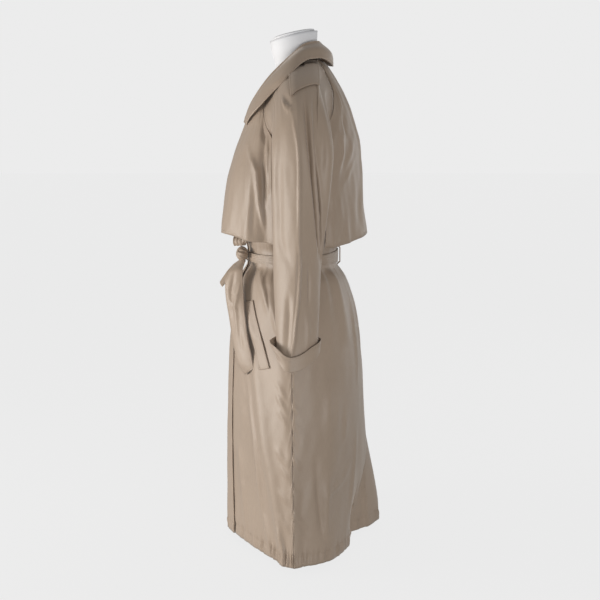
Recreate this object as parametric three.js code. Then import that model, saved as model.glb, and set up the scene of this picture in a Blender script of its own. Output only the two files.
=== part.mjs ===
// A belted raglan trench coat on a limbless dress form, in millimetres, +Z up.
// The origin is the middle of the underside of the stand's base plate.
// The coat faces -Y and the wearer's left is +X. A turn is an angle round the body in degrees:
// 0 is the front, 90 the wearer's left, 180 the back. A lift is a distance out from the body cloth.
import * as THREE from 'three';

const DEGREE = Math.PI / 180;
const CLOTH = 2;
const SEAM_HALF_GAP = 0.2;
const SIDE_TURN = 86;
const SIDE_SEAM_HALF_TURN = 0.12;
const BACK_SEAM_HALF_TURN = 0.09;
const HEM = 15;
const WAIST = 697;
const VENT_TOP = 330;

// Half widths of the coat body at its rings, outer face. A lens of 0 is an ellipse, of 1 a pointed lens.
const BODY_RINGS = [
  { z: 15, side: 280, front: 166, back: 200, lensFront: 0.85, lensBack: 0.6 },
  { z: 150, side: 270, front: 166, back: 184, lensFront: 0.75, lensBack: 0.48 },
  { z: 300, side: 250, front: 163, back: 171, lensFront: 0.55, lensBack: 0.25 },
  { z: 450, side: 225, front: 158, back: 162, lensFront: 0.5, lensBack: 0.12 },
  { z: 560, side: 200, front: 148, back: 146, lensFront: 0.35, lensBack: 0.05 },
  { z: 640, side: 172, front: 130, back: 122, lensFront: 0.15, lensBack: 0 },
  { z: 680, side: 147, front: 111, back: 100, lensFront: 0, lensBack: 0 },
  { z: 697, side: 147, front: 111, back: 100, lensFront: 0, lensBack: 0 },
  { z: 714, side: 147, front: 111, back: 100, lensFront: 0, lensBack: 0 },
  { z: 740, side: 156, front: 114, back: 106, lensFront: 0, lensBack: 0 },
  { z: 830, side: 175, front: 115, back: 112, lensFront: 0, lensBack: 0 },
  { z: 920, side: 190, front: 115, back: 119, lensFront: 0, lensBack: 0 },
  { z: 967, side: 192, front: 113, back: 124, lensFront: 0, lensBack: 0 },
  { z: 990, side: 188, front: 112, back: 124, lensFront: 0, lensBack: 0 },
  { z: 1034, side: 172, front: 104, back: 121, lensFront: 0, lensBack: 0 },
  { z: 1058, side: 156, front: 95, back: 116, lensFront: 0, lensBack: 0 },
  { z: 1076, side: 140, front: 87, back: 110, lensFront: 0, lensBack: 0 },
  { z: 1091, side: 128, front: 79, back: 103, lensFront: 0, lensBack: 0 },
  { z: 1118, side: 95, front: 61, back: 89, lensFront: 0, lensBack: 0 },
  { z: 1140, side: 82, front: 50, back: 76, lensFront: 0, lensBack: 0 },
  { z: 1158, side: 70, front: 35, back: 61, lensFront: 0, lensBack: 0 },
];
const BACK_FULLNESS = 0.2;
const LENS_POWER = 1.15;

// Long soft folds of the left side, from a low place to a high place. A positive height is a ridge.
const FOLDS = [
  { lowTurn: 67, lowZ: 15, highTurn: 44, highZ: 420, width: 8, height: 9, fade: 90, topFade: 90 },
  { lowTurn: 103, lowZ: 15, highTurn: 99, highZ: 190, width: 10, height: -8, fade: 110, topFade: 110 },
  { lowTurn: 38, lowZ: 540, highTurn: 24, highZ: 655, width: 5, height: 6, fade: 60, topFade: 25 },
  { lowTurn: 74, lowZ: 520, highTurn: 50, highZ: 655, width: 6, height: 7, fade: 60, topFade: 25 },
  { lowTurn: 139, lowZ: 540, highTurn: 136, highZ: 655, width: 6, height: 7, fade: 60, topFade: 25 },
  { lowTurn: 127, lowZ: 15, highTurn: 122, highZ: 330, width: 9, height: 6, fade: 120, topFade: 120 },
];
const GATHERS = 12;
const GATHER_HEIGHT = 4;
const GATHER_WIDTH = 4.5;

// The open edge of the cloth at the neck.
const NECKLINE = [
  { turn: -15, z: 991 },
  { turn: 0, z: 1003 },
  { turn: 6.6, z: 1032 },
  { turn: 17.5, z: 1076 },
  { turn: 31.8, z: 1104 },
  { turn: 44, z: 1118 },
  { turn: 60, z: 1136 },
  { turn: 90, z: 1147 },
  { turn: 120, z: 1153 },
  { turn: 140.7, z: 1156 },
  { turn: 180, z: 1158 },
];

// Where the raglan sleeve meets the body, by the angle round the sleeve: 0 is its outer crest,
// -90 its front, 90 its rear and 180 the underarm.
const SLEEVE_HEAD = [
  { angle: -180, turn: 86, z: 946 },
  { angle: -150, turn: 68, z: 967 },
  { angle: -120, turn: 57.8, z: 992 },
  { angle: -90, turn: 48, z: 1034 },
  { angle: -60, turn: 43.9, z: 1076 },
  { angle: -32, turn: 44, z: 1118 },
  { angle: -16, turn: 62, z: 1137 },
  { angle: 0, turn: 90, z: 1147 },
  { angle: 18, turn: 120, z: 1153 },
  { angle: 36, turn: 140.7, z: 1156 },
  { angle: 60, turn: 141, z: 1125 },
  { angle: 85, turn: 140.5, z: 1091 },
  { angle: 110, turn: 135.2, z: 1058 },
  { angle: 135, turn: 127.6, z: 1015 },
  { angle: 160, turn: 113, z: 975 },
  { angle: 180, turn: 86, z: 946 },
];
const FRONT_HEAD_ANGLES = [-180, -165, -150, -135, -120, -105, -90, -75, -60, -46, -32];
const NECK_HEAD_ANGLES = [-20, -9, 0, 10, 22];
const BACK_HEAD_ANGLES = [36, 48, 60, 72.5, 85, 97.5, 110, 122.5, 135, 147.5, 160, 170, 180];

// Extreme points of the sleeve at its levels below the armhole, and how sharp its crest is there.
const SLEEVE_RINGS = [
  { z: 470, inner: 232, outer: 303, front: -37, rear: 50, crest: -10, sharp: 0.1 },
  { z: 540, inner: 219, outer: 296, front: -41, rear: 52, crest: -6, sharp: 0.25 },
  { z: 620, inner: 200, outer: 290, front: -45, rear: 56, crest: 0, sharp: 0.5 },
  { z: 690, inner: 185, outer: 287, front: -47, rear: 59, crest: 4, sharp: 0.55 },
  { z: 750, inner: 182, outer: 286, front: -48, rear: 66, crest: 6, sharp: 0.55 },
  { z: 840, inner: 186, outer: 286, front: -49, rear: 77, crest: 8, sharp: 0.55 },
  { z: 930, inner: 196, outer: 283, front: -50, rear: 85, crest: 8, sharp: 0.55 },
];
const CREST_POWER = 1.2;
const CAP_LOW = 930;
const CAP_STEPS = [0, 0.12, 0.28, 0.46, 0.64, 0.82];
const SLEEVE_LEVELS = [930, 880, 820, 760, 700, 640, 580];
const SHOULDER_SLOPE = -0.4;
// The deep pleat behind the crest of the sleeve.
const PLEAT = [
  { z: 730, angle: 62, depth: 0 },
  { z: 790, angle: 52, depth: 9 },
  { z: 893, angle: 36, depth: 12 },
  { z: 957, angle: 28, depth: 12 },
  { z: 1034, angle: 24, depth: 9 },
  { z: 1090, angle: 22, depth: 0 },
];
const PLEAT_WIDTH = 11;

// Edges of the turned-back cuff, by the angle round the sleeve away from its outer crest.
const CUFF_EDGES = [
  { away: 0, low: 468, high: 503 },
  { away: 14, low: 470, high: 506 },
  { away: 48, low: 486, high: 524 },
  { away: 90, low: 507, high: 535 },
  { away: 135, low: 512, high: 539 },
  { away: 180, low: 515, high: 541 },
];
const CUFF_PATH = [
  { along: 0, out: 0, rise: 5.6 },
  { along: 0.12, out: 0.4, rise: 3.2 },
  { along: 0.24, out: 2.2, rise: 2.1 },
  { along: 0.36, out: 4, rise: 3.4 },
  { along: 0.6, out: 4.6, rise: 14 },
  { along: 1, out: 6, rise: 0 },
];

// How far the storm flaps and the cape stand off the body.
const FLAP_LIFTS = [
  { z: 740, lift: 58 },
  { z: 800, lift: 53 },
  { z: 876, lift: 42 },
  { z: 954, lift: 20 },
  { z: 1007, lift: 5 },
  { z: 1118, lift: 3.4 },
];
const CAPE_LIFTS = [
  { z: 735, lift: 68 },
  { z: 828, lift: 51 },
  { z: 923, lift: 36 },
  { z: 970, lift: 26 },
  { z: 1017, lift: 14 },
  { z: 1063, lift: 8 },
  { z: 1110, lift: 5 },
  { z: 1156, lift: 3.4 },
];
// Upper and lower ends of the flap's and the cape's threads.
const FLAP_THREADS = [
  { lowTurn: 9, topTurn: 9.5, topZ: 1022, lowZ: 757 },
  { lowTurn: 18, topTurn: 17.5, topZ: 1041, lowZ: 757 },
  { lowTurn: 27, topTurn: 28, topZ: 1067, lowZ: 757 },
  { lowTurn: 35, topTurn: 39, topZ: 1088, lowZ: 755 },
  { lowTurn: 42, topTurn: 40.6, topZ: 1076, lowZ: 752 },
  { lowTurn: 49, topTurn: 44.4, topZ: 1036, lowZ: 749 },
  { lowTurn: 56, topTurn: 50, topZ: 1004, lowZ: 746 },
  { lowTurn: 63, topTurn: 57, topZ: 983, lowZ: 744 },
  { lowTurn: 70, topTurn: 66, topZ: 962, lowZ: 742 },
  { lowTurn: 76, topTurn: 75, topZ: 950, lowZ: 741 },
];
const CAPE_THREADS = [
  { lowTurn: 116, topTurn: 118.5, topZ: 975, lowZ: 738 },
  { lowTurn: 121, topTurn: 126, topZ: 998, lowZ: 738 },
  { lowTurn: 127, topTurn: 132.5, topZ: 1024, lowZ: 739 },
  { lowTurn: 133, topTurn: 138.5, topZ: 1055, lowZ: 741 },
  { lowTurn: 140, topTurn: 145.5, topZ: 1089, lowZ: 744 },
  { lowTurn: 148, topTurn: 144, topZ: 1122, lowZ: 749 },
  { lowTurn: 156, topTurn: 147, topZ: 1148, lowZ: 753 },
  { lowTurn: 164, topTurn: 158, topZ: 1151, lowZ: 757 },
  { lowTurn: 172, topTurn: 169, topZ: 1152, lowZ: 760 },
  { lowTurn: 180, topTurn: 180, topZ: 1153, lowZ: 761 },
];

// The collar's left half, from the centre back to the tip: its foot on the neckline, its roll and its edge.
const COLLAR_STATIONS = [
  { at: 0, turn: 180, rollX: 0, rollY: 60, rollZ: 1197, edgeX: 0, edgeY: 91, edgeZ: 1141 },
  { at: 0.1, turn: 158, rollX: 30, rollY: 56, rollZ: 1197, edgeX: 50, edgeY: 83, edgeZ: 1145 },
  { at: 0.2, turn: 137, rollX: 50, rollY: 42, rollZ: 1195, edgeX: 86, edgeY: 60, edgeZ: 1154 },
  { at: 0.3, turn: 112, rollX: 62, rollY: 22, rollZ: 1189, edgeX: 110, edgeY: 30, edgeZ: 1149 },
  { at: 0.4, turn: 86, rollX: 66, rollY: 2, rollZ: 1174, edgeX: 140, edgeY: 4, edgeZ: 1131 },
  { at: 0.5, turn: 60, rollX: 66, rollY: -28, rollZ: 1147, edgeX: 159, edgeY: -22, edgeZ: 1103 },
  { at: 0.62, turn: 34, rollX: 58, rollY: -59, rollZ: 1117, edgeX: 148, edgeY: -53, edgeZ: 1073 },
  { at: 0.75, turn: 18, rollX: 43, rollY: -86, rollZ: 1083, edgeX: 131, edgeY: -83, edgeZ: 1041 },
  { at: 0.88, turn: 9, rollX: 24, rollY: -107, rollZ: 1050, edgeX: 107, edgeY: -103, edgeZ: 1019 },
  { at: 1, turn: 3, rollX: 6, rollY: -119, rollZ: 1021, edgeX: 84, edgeY: -112, edgeZ: 1004 },
];
const COLLAR_HALF_STATIONS = 14;
const COLLAR_ROLL_RADIUS = 4;

// The shoulder strap lies on the sleeve, from the collar to the point of the shoulder.
const STRAP_STEPS = [0.12, 0.2, 0.28, 0.37, 0.46, 0.57];
const STRAP_ANGLES = [-9, 0, 10, 22, 33];
const STRAP_LIFT = 1.9;

const BELT_HALF_HEIGHT_FRONT = 10;
const BELT_HALF_HEIGHT_BACK = 14;
const BELT_THICKNESS = 3;
const BELT_CLEARANCE = 0.8;
const KNOT = { x: 61, y: -124, z: 705, wide: 19, deep: 13, tall: 15 };

// The long end of the belt: its front edge and its rear edge, from the knot down.
const LONG_END = [
  { along: 0, frontX: 52, frontY: -130, rearX: 72, rearY: -117, frontZ: 690, rearZ: 691 },
  { along: 0.1, frontX: 78, frontY: -155, rearX: 97, rearY: -122, frontZ: 664, rearZ: 668 },
  { along: 0.22, frontX: 82, frontY: -164, rearX: 104, rearY: -121, frontZ: 634, rearZ: 638 },
  { along: 0.35, frontX: 85, frontY: -162, rearX: 114, rearY: -119, frontZ: 604, rearZ: 606 },
  { along: 0.58, frontX: 90, frontY: -153, rearX: 129, rearY: -114, frontZ: 546, rearZ: 546 },
  { along: 0.8, frontX: 102, frontY: -144, rearX: 143, rearY: -104, frontZ: 491, rearZ: 491 },
  { along: 0.94, frontX: 112, frontY: -134, rearX: 149, rearY: -97, frontZ: 452, rearZ: 456 },
  { along: 1, frontX: 122, frontY: -117, rearX: 151, rearY: -95, frontZ: 427, rearZ: 447 },
];
// The short end, which springs forward from the knot.
const SHORT_END = [
  { along: 0, frontX: 42, frontY: -128, rearX: 53, rearY: -116, frontZ: 691.5, rearZ: 687.5 },
  { along: 0.4, frontX: 32, frontY: -150, rearX: 48, rearY: -138, frontZ: 674, rearZ: 662 },
  { along: 0.75, frontX: 30, frontY: -168, rearX: 46, rearY: -160, frontZ: 652, rearZ: 640 },
  { along: 1, frontX: 28, frontY: -180, rearX: 42, rearY: -174, frontZ: 634, rearZ: 624 },
];

const WELT = { topTurn: 34, topZ: 598, lowTurn: 52.5, lowZ: 452, wide: 10.5, lift: 3 };

// Half widths of the dress form's torso.
const TORSO_RINGS = [
  { z: 430, side: 150, front: 95, back: 105 },
  { z: 520, side: 172, front: 108, back: 118 },
  { z: 620, side: 150, front: 96, back: 98 },
  { z: 700, side: 118, front: 84, back: 78 },
  { z: 780, side: 124, front: 90, back: 84 },
  { z: 860, side: 142, front: 98, back: 94 },
  { z: 940, side: 155, front: 101, back: 104 },
  { z: 1000, side: 164, front: 97, back: 106 },
  { z: 1034, side: 166, front: 91, back: 106 },
  { z: 1058, side: 162, front: 81, back: 101 },
  { z: 1083, side: 150, front: 69, back: 94 },
  { z: 1106, side: 122, front: 57, back: 84 },
  { z: 1124, side: 92, front: 49, back: 71 },
  { z: 1140, side: 66, front: 45, back: 55 },
  { z: 1160, side: 56, front: 50, back: 50 },
  { z: 1190, side: 54, front: 56, back: 52 },
  { z: 1211, side: 54, front: 58, back: 53 },
];
const NECK_SLANT = 0.22;
const POLE_RADIUS = 14;
const BASE_RADIUS = 125;
const BASE_THICKNESS = 10;

const FINISH = {
  cloth: { color: '#a3927b', roughness: 0.55, metalness: 0 },
  form: { color: '#f0efec', roughness: 0.5, metalness: 0 },
  metal: { color: '#c9c9cb', roughness: 0.3, metalness: 1 },
  button: { color: '#6f6252', roughness: 0.35, metalness: 0 },
};

const coat = new THREE.Group();

const mix = (from, to, share) => from + (to - from) * share;

function smoothStep(from, to, at) {
  const share = THREE.MathUtils.clamp((at - from) / (to - from), 0, 1);
  return share * share * (3 - 2 * share);
}

// Reads one column of a table at any place between its rows, on a smooth curve without overshoot.
function read(rows, key, at, column) {
  const last = rows.length - 1;
  if (at <= rows[0][key]) return rows[0][column];
  if (at >= rows[last][key]) return rows[last][column];
  let i = 0;
  while (rows[i + 1][key] < at) i += 1;
  const slope = (a, b) => (rows[b][column] - rows[a][column]) / (rows[b][key] - rows[a][key]);
  const calm = (p, q) => (p * q <= 0 ? 0 : (2 * p * q) / (p + q));
  const here = slope(i, i + 1);
  const start = i > 0 ? calm(slope(i - 1, i), here) : here;
  const end = i + 1 < last ? calm(here, slope(i + 1, i + 2)) : here;
  const step = rows[i + 1][key] - rows[i][key];
  const t = (at - rows[i][key]) / step;
  const t2 = t * t;
  const t3 = t2 * t;
  return rows[i][column] * (2 * t3 - 3 * t2 + 1) + rows[i + 1][column] * (3 * t2 - 2 * t3)
    + step * (start * (t3 - 2 * t2 + t) + end * (t3 - t2));
}

// A ring point of a body whose half widths are in a table.
function ringPoint(rings, turn, z) {
  const sine = Math.sin(turn * DEGREE);
  const cosine = Math.cos(turn * DEGREE);
  const half = cosine > 0 ? 'front' : 'back';
  const lens = read(rings, 'z', z, cosine > 0 ? 'lensFront' : 'lensBack') || 0;
  const fullness = cosine > 0 ? 1 : 1 + BACK_FULLNESS * (1 + cosine);
  const share = mix(Math.abs(cosine) * fullness, 1 - Math.abs(sine) ** LENS_POWER, lens);
  const depth = read(rings, 'z', z, half) * share;
  return new THREE.Vector3(read(rings, 'z', z, 'side') * sine, cosine > 0 ? -depth : depth, z);
}

// The outward direction of a surface at (u, v), from small steps to each side.
function outward(surface, u, v, stepU, stepV) {
  const along = surface(u + stepU, v).sub(surface(u - stepU, v));
  const up = surface(u, v + stepV).sub(surface(u, v - stepV));
  return along.cross(up).normalize();
}

const gatherAt = (k) => ({
  turn: (k * 180) / GATHERS + 4 * Math.sin(k * 2.4),
  height: GATHER_HEIGHT * (0.6 + 0.4 * Math.sin(k * 1.7)),
});

function turnBetween(a, b) {
  return ((a - b + 900) % 360) - 180;
}

// The height of the folds and of the gathers at the waist.
function drape(turn, z) {
  let height = 0;
  for (const fold of FOLDS) {
    const share = (z - fold.lowZ) / (fold.highZ - fold.lowZ);
    const crest = mix(fold.lowTurn, fold.highTurn, THREE.MathUtils.clamp(share, -0.2, 1.2));
    const offset = turnBetween(Math.abs(turn), crest) / fold.width;
    const fade = smoothStep(fold.lowZ - fold.fade, fold.lowZ, z)
      * (1 - smoothStep(fold.highZ, fold.highZ + fold.topFade, z));
    height += fold.height * fade * Math.exp(-offset * offset);
  }
  const below = smoothStep(WAIST - 16, WAIST - 50, z) * smoothStep(WAIST - 170, WAIST - 60, z);
  const above = smoothStep(WAIST + 16, WAIST + 40, z) * (1 - smoothStep(WAIST + 60, WAIST + 130, z));
  for (let k = 0; k < GATHERS; k += 1) {
    const gather = gatherAt(k);
    const offset = turnBetween(Math.abs(turn), gather.turn) / GATHER_WIDTH;
    height += gather.height * (below + above) * Math.exp(-offset * offset);
  }
  return height;
}

const barePoint = (turn, z) => ringPoint(BODY_RINGS, turn, z);
const bareNormal = (turn, z) => outward(barePoint, turn, z, 0.5, 2);

// The outer face of the body cloth.
function clothPoint(turn, z) {
  return barePoint(turn, z).addScaledVector(bareNormal(turn, z), drape(turn, z));
}

const clothNormal = (turn, z) => outward(clothPoint, turn, z, 0.5, 2);

const onCloth = (turn, z, lift) => clothPoint(turn, z).addScaledVector(clothNormal(turn, z), lift);

// A body of triangles from rows of outer and inner points. Both lists are rows of columns.
function wallGeometry(outer, inner, closed) {
  const rows = outer.length;
  const columns = outer[0].length;
  const positions = [];
  for (const sheet of [outer, inner]) {
    for (const row of sheet) {
      for (const point of row) positions.push(point.x, point.y, point.z);
    }
  }
  const out = (j, i) => j * columns + (i % columns);
  const within = (j, i) => rows * columns + j * columns + (i % columns);
  const index = [];
  const quad = (a, b, c, d) => index.push(a, b, c, a, c, d);
  const spans = closed ? columns : columns - 1;
  for (let j = 0; j + 1 < rows; j += 1) {
    for (let i = 0; i < spans; i += 1) {
      quad(out(j, i), out(j, i + 1), out(j + 1, i + 1), out(j + 1, i));
      quad(within(j, i), within(j + 1, i), within(j + 1, i + 1), within(j, i + 1));
    }
  }
  for (let i = 0; i < spans; i += 1) {
    quad(out(0, i + 1), out(0, i), within(0, i), within(0, i + 1));
    quad(out(rows - 1, i), out(rows - 1, i + 1), within(rows - 1, i + 1), within(rows - 1, i));
  }
  if (!closed) {
    for (let j = 0; j + 1 < rows; j += 1) {
      quad(out(j, 0), out(j + 1, 0), within(j + 1, 0), within(j, 0));
      quad(out(j + 1, columns - 1), out(j, columns - 1), within(j, columns - 1), within(j + 1, columns - 1));
    }
  }
  return facingOut(positions, index);
}

// Turns the triangles round where they enclose a negative volume.
function facingOut(positions, index) {
  const corner = (i) => new THREE.Vector3().fromArray(positions, index[i] * 3);
  let volume = 0;
  for (let i = 0; i < index.length; i += 3) {
    volume += corner(i).dot(corner(i + 1).cross(corner(i + 2)));
  }
  if (volume < 0) {
    for (let i = 0; i < index.length; i += 3) {
      [index[i + 1], index[i + 2]] = [index[i + 2], index[i + 1]];
    }
  }
  const geometry = new THREE.BufferGeometry();
  geometry.setAttribute('position', new THREE.Float32BufferAttribute(positions, 3));
  geometry.setIndex(index);
  geometry.computeVertexNormals();
  return geometry;
}

// The same piece on the wearer's other side.
function mirrored(geometry) {
  const positions = [...geometry.getAttribute('position').array];
  for (let i = 0; i < positions.length; i += 3) positions[i] = -positions[i];
  return facingOut(positions, [...geometry.getIndex().array]);
}

// A cloth wall over a surface of (u, v), its thickness on the side away from its outward direction.
function clothWall(surface, us, vs, thickness, closed = false) {
  const stepU = Math.abs(us[1] - us[0]) * 0.02;
  const stepV = Math.abs(vs[1] - vs[0]) * 0.02;
  const outer = vs.map((v) => us.map((u) => surface(u, v)));
  const inner = vs.map((v, j) => us.map((u, i) => outer[j][i].clone()
    .addScaledVector(outward(surface, u, v, stepU, stepV), -thickness)));
  return wallGeometry(outer, inner, closed);
}

function addMesh(name, geometry, finish) {
  const mesh = new THREE.Mesh(geometry, new THREE.MeshStandardMaterial(FINISH[finish]));
  mesh.name = name;
  coat.add(mesh);
}

const evenly = (count, from, to) => Array.from({ length: count + 1 }, (_, i) => mix(from, to, i / count));

// The seam between sleeve and body, moved off it: a positive side lies on the sleeve.
function seamPlace(angle, side) {
  const wrapped = turnBetween(angle, 0);
  const turn = read(SLEEVE_HEAD, 'angle', wrapped, 'turn');
  const z = read(SLEEVE_HEAD, 'angle', wrapped, 'z');
  const normal = clothNormal(turn, z);
  if (side === 0) return { point: clothPoint(turn, z), normal };
  const along = seamPlace(angle + 1.5, 0).point.sub(seamPlace(angle - 1.5, 0).point).normalize();
  const across = along.cross(normal).normalize();
  return { point: clothPoint(turn, z).addScaledVector(across, side), normal, across };
}

// One thread of a body panel: straight up to the bend, then turned to its place at the top.
const BEND_FROM = 850;
const LOW_LEVELS = [HEM, 60, 105, 150, 200, 255, 320, 400, 470, 535, 590, 635, 680, 714, 740, 795];
const HIGH_STEPS = 5;

function panelThread(thread, lift) {
  const points = [];
  const normals = [];
  for (const level of LOW_LEVELS) {
    const place = thread.low(level);
    points.push(onCloth(place.turn, level, place.lift + lift(thread.lowTurn, level)));
    normals.push(clothNormal(place.turn, level));
  }
  for (let k = 0; k < HIGH_STEPS; k += 1) {
    const share = k / HIGH_STEPS;
    const z = mix(BEND_FROM, thread.topZ, share);
    const turn = mix(thread.lowTurn, thread.topTurn, smoothStep(0, 1, share));
    points.push(onCloth(turn, z, lift(turn, z)));
    normals.push(clothNormal(turn, z));
  }
  const top = thread.top ?? {
    point: onCloth(thread.topTurn, thread.topZ, lift(thread.topTurn, thread.topZ)),
    normal: clothNormal(thread.topTurn, thread.topZ),
  };
  points.push(top.point);
  normals.push(top.normal);
  return { points, normals };
}

// A body panel from its threads, in the order of their turns.
function panelGeometry(threads, lift) {
  const made = threads.map((thread) => panelThread(thread, lift));
  const rows = made[0].points.length;
  const outer = [];
  const inner = [];
  for (let j = 0; j < rows; j += 1) {
    outer.push(made.map((thread) => thread.points[j]));
    inner.push(made.map((thread) => thread.points[j].clone().addScaledVector(thread.normals[j], -CLOTH)));
  }
  return wallGeometry(outer, inner, false);
}

// A thread that ends on the raglan seam.
function raglanThread(angle, lowTurn) {
  const turn = read(SLEEVE_HEAD, 'angle', angle, 'turn');
  const z = read(SLEEVE_HEAD, 'angle', angle, 'z');
  return {
    lowTurn,
    topTurn: turn,
    topZ: z,
    top: seamPlace(angle, -SEAM_HALF_GAP),
    low: () => ({ turn: lowTurn, lift: 0 }),
  };
}

function necklineThread(topTurn, lowTurn, low) {
  return {
    lowTurn,
    topTurn,
    topZ: read(NECKLINE, 'turn', topTurn, 'z'),
    low: low ?? (() => ({ turn: lowTurn, lift: 0 })),
  };
}

// Front panels. The right one laps over the left one past the centre front.
const FRONT_LOW_TURN_AT_NECK = 36;
const FRONT_NECK_TURNS = [29, 22, 15, 7, 0, -7, -15];
const LAP_TURN = 15;
const LAP_FADE_TURN = 29;
const LAP_LIFT = 4.2;

function frontGeometry(lapLift) {
  const raglan = FRONT_HEAD_ANGLES.map((angle, i) => raglanThread(
    angle,
    mix(SIDE_TURN - SIDE_SEAM_HALF_TURN, FRONT_LOW_TURN_AT_NECK, i / (FRONT_HEAD_ANGLES.length - 1)),
  ));
  const neck = FRONT_NECK_TURNS.map((turn) => necklineThread(turn, turn));
  const lift = (turn, z) => lapLift * (1 + 0.3 * smoothStep(880, 980, z))
    * (1 - smoothStep(LAP_TURN, LAP_FADE_TURN, turn));
  return panelGeometry([...raglan, ...neck].reverse(), lift);
}

// Back panels. Below the vent's top the left edge is drawn in and the right panel runs on behind it.
const ventShare = (z) => 1 - smoothStep(HEM + 20, VENT_TOP, z);
const ventReach = (z) => smoothStep(0.15, 1, ventShare(z));
const BACK_LOW_TURN_AT_NECK = 156;
const BACK_NECK_TURNS = [150, 160, 170, 180 - BACK_SEAM_HALF_TURN];
const VENT_LEFT = {
  edgeTurn: 165,
  power: 3,
  lifts: [
    { turn: 138, lift: 0 },
    { turn: 150, lift: -10 },
    { turn: 158, lift: -28 },
    { turn: 165, lift: -40 },
  ],
};
const VENT_RIGHT = {
  edgeTurn: 202,
  power: 0.75,
  lifts: [
    { turn: 86, lift: 0 },
    { turn: 150, lift: 8 },
    { turn: 168, lift: 38 },
    { turn: 180, lift: -20 },
    { turn: 183, lift: -28 },
    { turn: 186, lift: -35 },
    { turn: 190, lift: -44 },
    { turn: 195, lift: -58 },
    { turn: 202, lift: -70 },
  ],
};

function backThreads(vent) {
  const seamTurn = 180 - BACK_SEAM_HALF_TURN;
  const place = (lowTurn) => (z) => {
    const drawn = smoothStep(110, seamTurn, lowTurn) * ventReach(z);
    const turn = mix(lowTurn, vent.edgeTurn, drawn);
    return { turn, lift: ventShare(z) ** vent.power * read(vent.lifts, 'turn', turn, 'lift') };
  };
  const raglan = [...BACK_HEAD_ANGLES].reverse().map((angle, i) => {
    const share = i / (BACK_HEAD_ANGLES.length - 1);
    const lowTurn = mix(SIDE_TURN + SIDE_SEAM_HALF_TURN, BACK_LOW_TURN_AT_NECK, share);
    return { ...raglanThread(angle, lowTurn), low: place(lowTurn) };
  });
  const neck = BACK_NECK_TURNS.map((turn, i) => {
    const lowTurn = mix(BACK_LOW_TURN_AT_NECK, seamTurn, (i + 1) / BACK_NECK_TURNS.length);
    return necklineThread(turn, lowTurn, place(lowTurn));
  });
  return [...raglan, ...neck];
}

const noLift = () => 0;
addMesh('front_left', frontGeometry(0), 'cloth');
addMesh('front_right', mirrored(frontGeometry(LAP_LIFT)), 'cloth');
addMesh('back_left', panelGeometry(backThreads(VENT_LEFT), noLift), 'cloth');
addMesh('back_right', mirrored(panelGeometry(backThreads(VENT_RIGHT), noLift)), 'cloth');

// The sleeve below the armhole: a lens with a sharp crest along its outer side.
function sleeveRing(angle, z) {
  const ring = (column) => read(SLEEVE_RINGS, 'z', z, column);
  const cosine = Math.cos(angle * DEGREE);
  const sine = Math.sin(angle * DEGREE);
  const middle = mix(ring('inner'), ring('outer'), 0.45);
  const crest = ring('crest');
  const roof = mix(Math.abs(cosine), 1 - Math.abs(sine) ** CREST_POWER, ring('sharp'));
  const x = cosine > 0 ? mix(middle, ring('outer'), roof) : mix(middle, ring('inner'), -cosine);
  const y = sine > 0 ? mix(crest, ring('rear'), sine) : mix(crest, ring('front'), -sine);
  return new THREE.Vector3(x, y, z);
}

// The sleeve's cap, from the seam at step 0 to the first ring at step 1.
function capPoint(angle, step) {
  const seam = seamPlace(angle, SEAM_HALF_GAP);
  const end = sleeveRing(angle, CAP_LOW);
  const reach = end.distanceTo(seam.point);
  const overShoulder = 0.3 + 0.7 * (1 - smoothStep(20, 75, Math.abs(angle)));
  const shoulder = new THREE.Vector3(1, 0, SHOULDER_SLOPE).normalize();
  const leave = seam.across.clone().lerp(shoulder, Math.abs(angle) > 110 ? 0 : overShoulder)
    .normalize().multiplyScalar(1.1 * reach);
  const arrive = new THREE.Vector3(0, 0, -1.3 * reach);
  const t2 = step * step;
  const t3 = t2 * step;
  return seam.point.clone().multiplyScalar(2 * t3 - 3 * t2 + 1)
    .addScaledVector(end, 3 * t2 - 2 * t3)
    .addScaledVector(leave, t3 - 2 * t2 + step)
    .addScaledVector(arrive, t3 - t2);
}

// The sleeve by the angle round it and the length down it: 0 to 1 is the cap, and from there on
// each unit is the next hundred millimetres.
const LENGTH_UNIT = 100;

function plainSleeve(angle, length) {
  return length <= 1 ? capPoint(angle, length) : sleeveRing(angle, CAP_LOW - (length - 1) * LENGTH_UNIT);
}

function sleevePoint(angle, length) {
  const point = plainSleeve(angle, length);
  const depth = read(PLEAT, 'z', point.z, 'depth');
  if (depth < 0.01 || angle < 0 || angle > 120 || length < 0.1) return point;
  const away = (angle - read(PLEAT, 'z', point.z, 'angle')) / PLEAT_WIDTH;
  const normal = outward(plainSleeve, angle, length, 1, -0.01);
  return point.addScaledVector(normal, -depth * Math.exp(-away * away));
}

const SLEEVE_ANGLES = [...FRONT_HEAD_ANGLES, ...NECK_HEAD_ANGLES, ...BACK_HEAD_ANGLES.slice(0, -1)];
const CUFF_INSET = 6;
const cuffEdge = (angle, column) => read(CUFF_EDGES, 'away', Math.abs(angle), column);

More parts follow.
